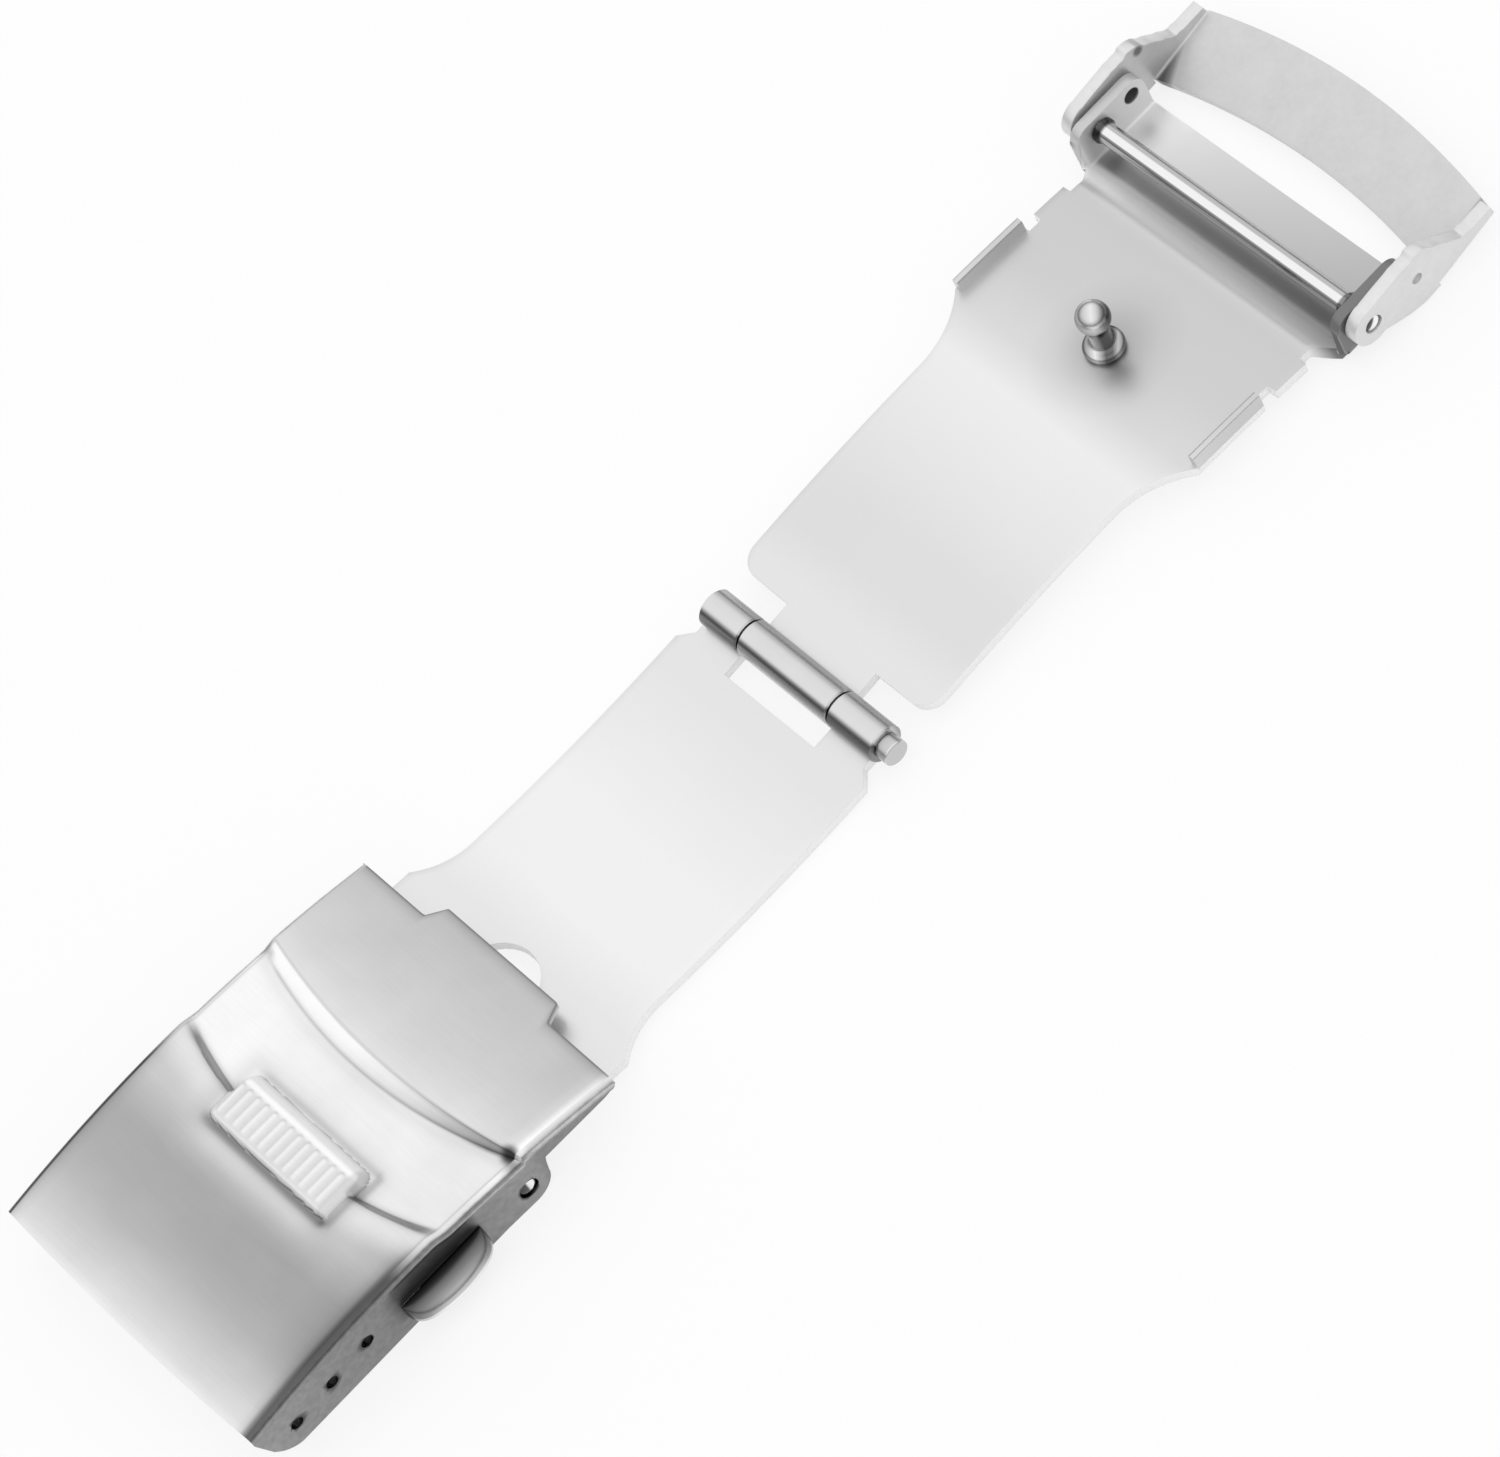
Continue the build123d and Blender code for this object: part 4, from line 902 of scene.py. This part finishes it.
def coverTone(finish, x, y, z):
    # the painted light and shade worked out with the surface, with a coarse speckle on the walls
    away = finish.size(y)
    speckle = finish.add("TexNoise", None,
                         {"Vector": finish.add("TexCoord", output="Object"), "Scale": 2600.0, "Detail": 3.0}, "Fac")
    wall = finish.ramp(away, 9.0, 10.2, [(9.8, 0.0), (9.9, 0.7)])
    return finish.add("Attribute", {"attribute_name": "level"}, None, "Fac") * ((speckle - 0.5) * wall + 1.0)


def coverMetal(finish, x, y, z):
    return finish.add("Attribute", {"attribute_name": "shine"}, None, "Fac")


def pinTone(finish, x, y, z):
    # a pin whose domed ends have painted shade towards the buttons and a painted highlight on the other side
    return finish.ramp(x, -0.6, 0.6, [(-0.6, 0.05), (-0.05, 0.1), (0.08, 0.85), (0.35, 0.95), (0.52, 0.4)])


def barTone(finish, x, y, z):
    # painted reflection lines along the bar: mid grey, a dark line, a bright band and grey again; painted shade where
    # it enters the ears
    across = finish.ramp(x, 60.5, 62.1, [(60.5, 0.38), (60.84, 0.44), (60.92, 0.3), (60.98, 0.84), (61.3, 0.84),
                                         (61.4, 0.46), (61.55, 0.6), (61.9, 0.66)])
    return across * finish.ramp(y, -10.0, 10.0, [(-9.0, 0.3), (-8.8, 1.0), (8.7, 1.0), (8.85, 0.12), (9.6, 0.12)])


def tipTone(finish, x, y, z):
    # domed ends with painted shade above and a painted highlight below
    return finish.ramp(x - z, 58.0, 60.0, [(58.15, 0.06), (58.55, 0.12), (58.72, 0.9), (59.1, 1.0), (59.4, 0.7)])


def kneeTone(finish, x, y, z):
    # painted reflection lines along the hinge's barrel: painted shade low on the cover's side, a painted highlight,
    # then grey to the far side
    low = finish.ramp(z, 0.3, 2.7, [(0.9, 0.6), (1.5, 0.6), (1.9, 0.54), (2.1, 0.34), (2.2, 0.19), (2.3, 0.18),
                                    (2.37, 0.32), (2.44, 0.64), (2.5, 0.74)])
    outer = finish.ramp(z, 0.3, 2.7, [(0.9, 0.26), (1.5, 0.24), (1.9, 0.21), (2.1, 0.19), (2.2, 0.17), (2.3, 0.2),
                                      (2.37, 0.36), (2.44, 0.62), (2.5, 0.74)])
    away = finish.size(y)
    aside = finish.ramp(away, 3.0, 4.0, [(3.44, 0.0), (3.5, 1.0)])
    low = low + (outer - low) * aside
    far = finish.ramp(x, 27.6, 30.0, [(28.25, 0.0), (28.32, 1.0)])
    top = finish.ramp(x, 27.6, 30.0, [(28.35, 0.7), (28.95, 0.67), (29.1, 0.64), (29.22, 0.58), (29.45, 0.62),
                                      (29.6, 0.5), (29.75, 0.37), (29.9, 0.29)])
    return low + (top - low) * far


def headTone(finish, x, y, z):
    # the pin's head: grey with a painted highlight near its end
    return finish.ramp(y, -8.0, -6.0, [(-7.74, 0.58), (-7.68, 0.74), (-7.6, 0.58), (-7.0, 0.5)])


def bladeTone(finish, x, y, z):
    # painted light and shade along both blades: painted shade round the peg, a painted highlight on the joggle,
    # painted shadow beside the bar, and pale ears with painted shade on the near one and in their holes
    along = finish.ramp(x, 0.0, 66.0, [(0.0, 0.78), (9.0, 0.78), (12.0, 0.85), (17.0, 0.85), (25.0, 0.76),
                                       (30.0, 0.76), (32.5, 0.76),
                                       (35.0, 0.71), (38.0, 0.715), (41.0, 0.76), (47.0, 0.83), (49.5, 0.69),
                                       (53.0, 0.62), (57.8, 0.6),
                                       (58.3, 0.62), (58.8, 0.74), (59.2, 0.76), (59.6, 0.64), (59.8, 0.56),
                                       (60.0, 0.48), (60.2, 0.32),
                                       (60.4, 0.29), (60.8, 0.34), (61.8, 0.6), (62.3, 0.56), (64.7, 0.6)])
    along = along * (1 + (finish.ramp(y, -10.0, 10.0, [(-9.0, 0.0), (-6.0, 0.06), (0.0, 0.2), (4.0, 0.32),
                                                       (6.0, 0.44), (8.2, 0.75), (9.2, 0.8)]) - 0.2) *
                     finish.ramp(x, 58.0, 66.0, [(58.8, 0.0), (59.2, 1.0)]))
    reach = finish.distance(x - 52.3, y * 1.15)
    flat = along * finish.ramp(reach, 0.0, 6.0, [(0.0, 0.66), (1.4, 0.76), (3.0, 0.93), (4.6, 1.0)])
    away = finish.size(y)
    ear = finish.ramp(away, 9.0, 10.2, [(9.25, 0.0), (9.5, 1.0)]) * finish.ramp(x, 58.0, 66.0,
                                                                                [(59.5, 0.0), (59.7, 1.0)])
    hole = finish.distance(x - 63.7, z - 2.45)
    earLevel = finish.ramp(y, -10.0, 10.0, [(-9.2, 0.2), (-8.0, 0.74), (8.0, 0.74),
                                            (9.2, 0.7)]) * finish.ramp(hole, 0.0, 1.0, [(0.5, 0.15), (0.56, 1.0)])
    return flat * (1 - ear) + ear * earLevel


def bladeMetal(finish, x, y, z):
    # the ears and the fall before the bar are scuffed, so they scatter more light
    away = finish.size(y)
    ear = finish.ramp(away, 9.0, 10.2, [(9.15, 0.0), (9.3, 1.0)]) * finish.ramp(x, 58.0, 66.0,
                                                                                [(59.5, 0.0), (59.7, 1.0)])
    fall = finish.ramp(x, 56.0, 62.0, [(58.3, 0.0), (58.9, 0.8), (59.95, 0.8), (60.3, 0.0)])
    return 1 - finish.add("Math", {"operation": "MAXIMUM"}, {0: ear * 0.85, 1: fall})


def rimTone(finish, x, y, z):
    # cut edges are pale, and carry painted shade on the ears, darkest on the near one
    ear = finish.ramp(x, 56.0, 66.0, [(58.4, 0.0), (59.4, 1.0)])
    return 0.95 + (finish.ramp(y, -10.0, 10.0, [(-8.4, 0.2), (-7.5, 0.95), (8.0, 0.95), (9.0, 0.6)]) - 0.95) * ear


def lockTone(finish, x, y, z):
    # pale arms, a greyer band with painted shade at its near bend, and painted shade in the corners inside its bends
    # and on the far arm's knee
    away = finish.size(y)
    arm = finish.ramp(away, 9.5, 11.2, [(10.0, 0.0), (10.3, 1.0)])
    band = finish.ramp(x, 60.0, 72.0, [(64.5, 0.62), (68.0, 0.64), (72.0, 0.66)])
    wedge = (10.1 - y) + (x - 65.1) * 0.45
    band = band * finish.ramp(wedge, -1.0, 3.0, [(0.0, 0.16), (0.7, 0.2), (1.05, 0.45), (1.4, 1.0)])
    band = band * finish.ramp(y, -11.0, -9.0, [(-10.2, 0.6), (-9.95, 0.55), (-9.8, 1.0)])
    # painted shade on the far arm's knee
    reach = finish.distance(x - 65.5, z - 3.7)
    armShade = finish.ramp(reach, 0.0, 1.0, [(0.2, 0.7), (0.42, 0.0)]) * finish.ramp(y, 9.0, 11.0,
                                                                                  [(10.0, 0.0), (10.1, 1.0)])
    return (band * (1 - arm) + arm * 0.78) * (1 - armShade)


def pegTone(finish, x, y, z):
    # painted highlight and shade: the ball is bright past its middle and dark at both sides, and its neck and foot
    # the other way round
    across = x - 52.2 - y
    ball = finish.ramp(across, -1.8, 1.8,
                       [(-1.35, 0.12), (-1.0, 0.4), (-0.3, 0.6), (0.25, 0.78), (0.6, 0.62), (0.95, 0.3), (1.3, 0.12)])
    foot = finish.ramp(across, -1.8, 1.8, [(-1.6, 0.2), (-1.1, 0.5), (-0.6, 0.8), (-0.25, 0.5), (0.2, 0.14),
                                           (0.7, 0.16), (1.1, 0.5), (1.5, 0.25)])
    high = finish.ramp(z, 2.0, 6.0, [(4.0, 0.0), (4.3, 1.0)])
    return foot + (ball - foot) * high


def buttonTone(finish, x, y, z):
    # painted shade at the wall, greyer outwards, and a painted highlight round the outer edge
    away = finish.size(y)
    out = finish.ramp(away, 9.5, 11.5, [(9.8, 0.02), (10.0, 0.05), (10.3, 0.1), (10.7, 0.2), (11.0, 0.32),
                                        (11.2, 0.5), (11.35, 0.6)])
    rim = finish.ramp(z, 1.0, 2.4, [(1.06, 0.1), (1.2, 0.5), (1.34, 1.0), (1.46, 0.9),
                                    (1.55, 0.0)]) * finish.ramp(away, 10.0, 11.5, [(10.3, 0.0), (10.7, 1.0)])
    return out + rim * 0.4


coverSteel = steel("coverSteel", looks["cover"], coverTone, coverMetal)
bladeSteel = steel("bladeSteel", looks["blade"], bladeTone, bladeMetal)
lockSteel = steel("lockSteel", looks["lock"], lockTone, 0.5)
pegSteel = steel("pegSteel", looks["peg"], pegTone)
buttonSteel = steel("buttonSteel", looks["button"], buttonTone)
springSteel = steel("springSteel", looks["spring"])
rimSteel = steel("rimSteel", looks["blade"], rimTone, 0.4)
# painted shade: a dark line on the sheets' round edges that face up and forwards
edgeShadeSteel = steel("edgeShadeSteel", looks["blade"], 0.1)
pinSteel = steel("pinSteel", looks["polished"], pinTone)
barSteel = steel("barSteel", looks["polished"], barTone)
tipSteel = steel("tipSteel", looks["polished"], tipTone)
kneeSteel = steel("kneeSteel", looks["knee"], kneeTone)
kneePinSteel = steel("kneePinSteel", looks["knee"], headTone)

def dressSheet(piece, material, rim, line):
    # the faces round a sheet's rim have the second material, and its round edges that face up and forwards
    # have the third
    count = len(piece.data.polygons)
    index, facing = np.zeros(count, np.int32), np.zeros(count * 3, np.float32)
    piece.data.polygons.foreach_get("material_index", index)
    piece.data.polygons.foreach_get("normal", facing)
    piece.data.materials.clear()
    for finish in (material, rim, line):
        piece.data.materials.append(finish)
    hidden = (index == 2) & ((facing[2::3] < 0) | (facing[1::3] > 0.3))
    piece.data.polygons.foreach_set("material_index", np.where(hidden, 1, np.minimum(index, 2)))


dress(coverSkin, coverSteel)
for piece in (blade1, blade2):
    dressSheet(piece, bladeSteel, rimSteel, edgeShadeSteel)
for piece in (blade1Rolls, blade2Roll):
    dress(piece, kneeSteel)
dress(blade2Tabs, bladeSteel)
dressSheet(flipLock, lockSteel, lockSteel, lockSteel)
dress(ballPeg, pegSteel)
dress(lockBar, barSteel)
dress(coverPin, pinSteel)
dress(middlePin, kneePinSteel)
for piece in tips.values():
    dress(piece, tipSteel)
for piece in caps.values():
    dress(piece, buttonSteel)
bare = {"catch_frame": bladeSteel, "button_spring_left": springSteel, "button_spring_right": springSteel,
        "lock_bar_spring": springSteel}
for name, material in bare.items():
    for place in nodes[name].material_slots:
        place.material = material
print("finishes made")


stage = {"half": 0.9, "white": 0.97, "glow": 0.8,
         "sky": [(0.0, 0.1), (0.12, 0.22), (0.35, 0.78), (0.6, 1.06), (1.0, 1.06)]}
mesh = bpy.data.meshes.new("floor")
corners = np.array([[-1, -1, 0], [1, -1, 0], [1, 1, 0], [-1, 1, 0]]) * stage["half"]
corners[:, 2] = -0.00001
mesh.from_pydata(corners.tolist(), [], [[0, 1, 2, 3]])
floor = bpy.data.objects.new("floor", mesh)
bpy.context.collection.objects.link(floor)
paper = Finish(bpy.data.materials.new("paper"))
matt = paper.add("BsdfDiffuse", None, {"Color": (stage["white"],) * 3 + (1,)})
glow = paper.add("Emission", None, {"Color": (1, 1, 1, 1), "Strength": 1.0})
path = paper.add("LightPath", output="Is Camera Ray").socket.node
seen = Wire(paper.tree, path.outputs["Is Camera Ray"]) + Wire(paper.tree, path.outputs["Is Glossy Ray"])
seen = seen + Wire(paper.tree, path.outputs["Is Transmission Ray"])
mixed = paper.add("MixShader", None, {0: seen * stage["glow"], 1: matt, 2: glow})
dress(floor, paper.end(mixed))

world = bpy.data.worlds.new("studio")
bpy.context.scene.world = world
air = Finish(world)
height = air.add("SeparateXYZ", None, {"Vector": air.add("TexCoord", output="Generated")}, "Z")
light = air.add("ValToRGB", {"stops": stage["sky"]}, {"Fac": height})
air.end(air.add("Background", None, {"Color": light}), "OutputWorld")

view = {"place": (-49.935, -190.76, 301.621), "right": (0.69103, -0.65202, -0.312), "up": (0.71208, 0.53993, 0.44879),
        "back": (-0.12417, -0.5323, 0.8374), "lens": 168.588, "shift": (0.03966, 0.03508)}
lensData = bpy.data.cameras.new("camera")
camera = bpy.data.objects.new("camera", lensData)
bpy.context.collection.objects.link(camera)
turned = Matrix((view["right"], view["up"], view["back"])).transposed().to_4x4()
camera.matrix_world = Matrix.Translation([c / 1000 for c in view["place"]]) @ turned
lensData.lens = view["lens"]
lensData.sensor_width = 36
lensData.shift_x, lensData.shift_y = view["shift"]
lensData.clip_start, lensData.clip_end = 0.01, 20
bpy.context.scene.camera = camera
bpy.context.scene.view_settings.view_transform = "Standard"
print("stage ready")
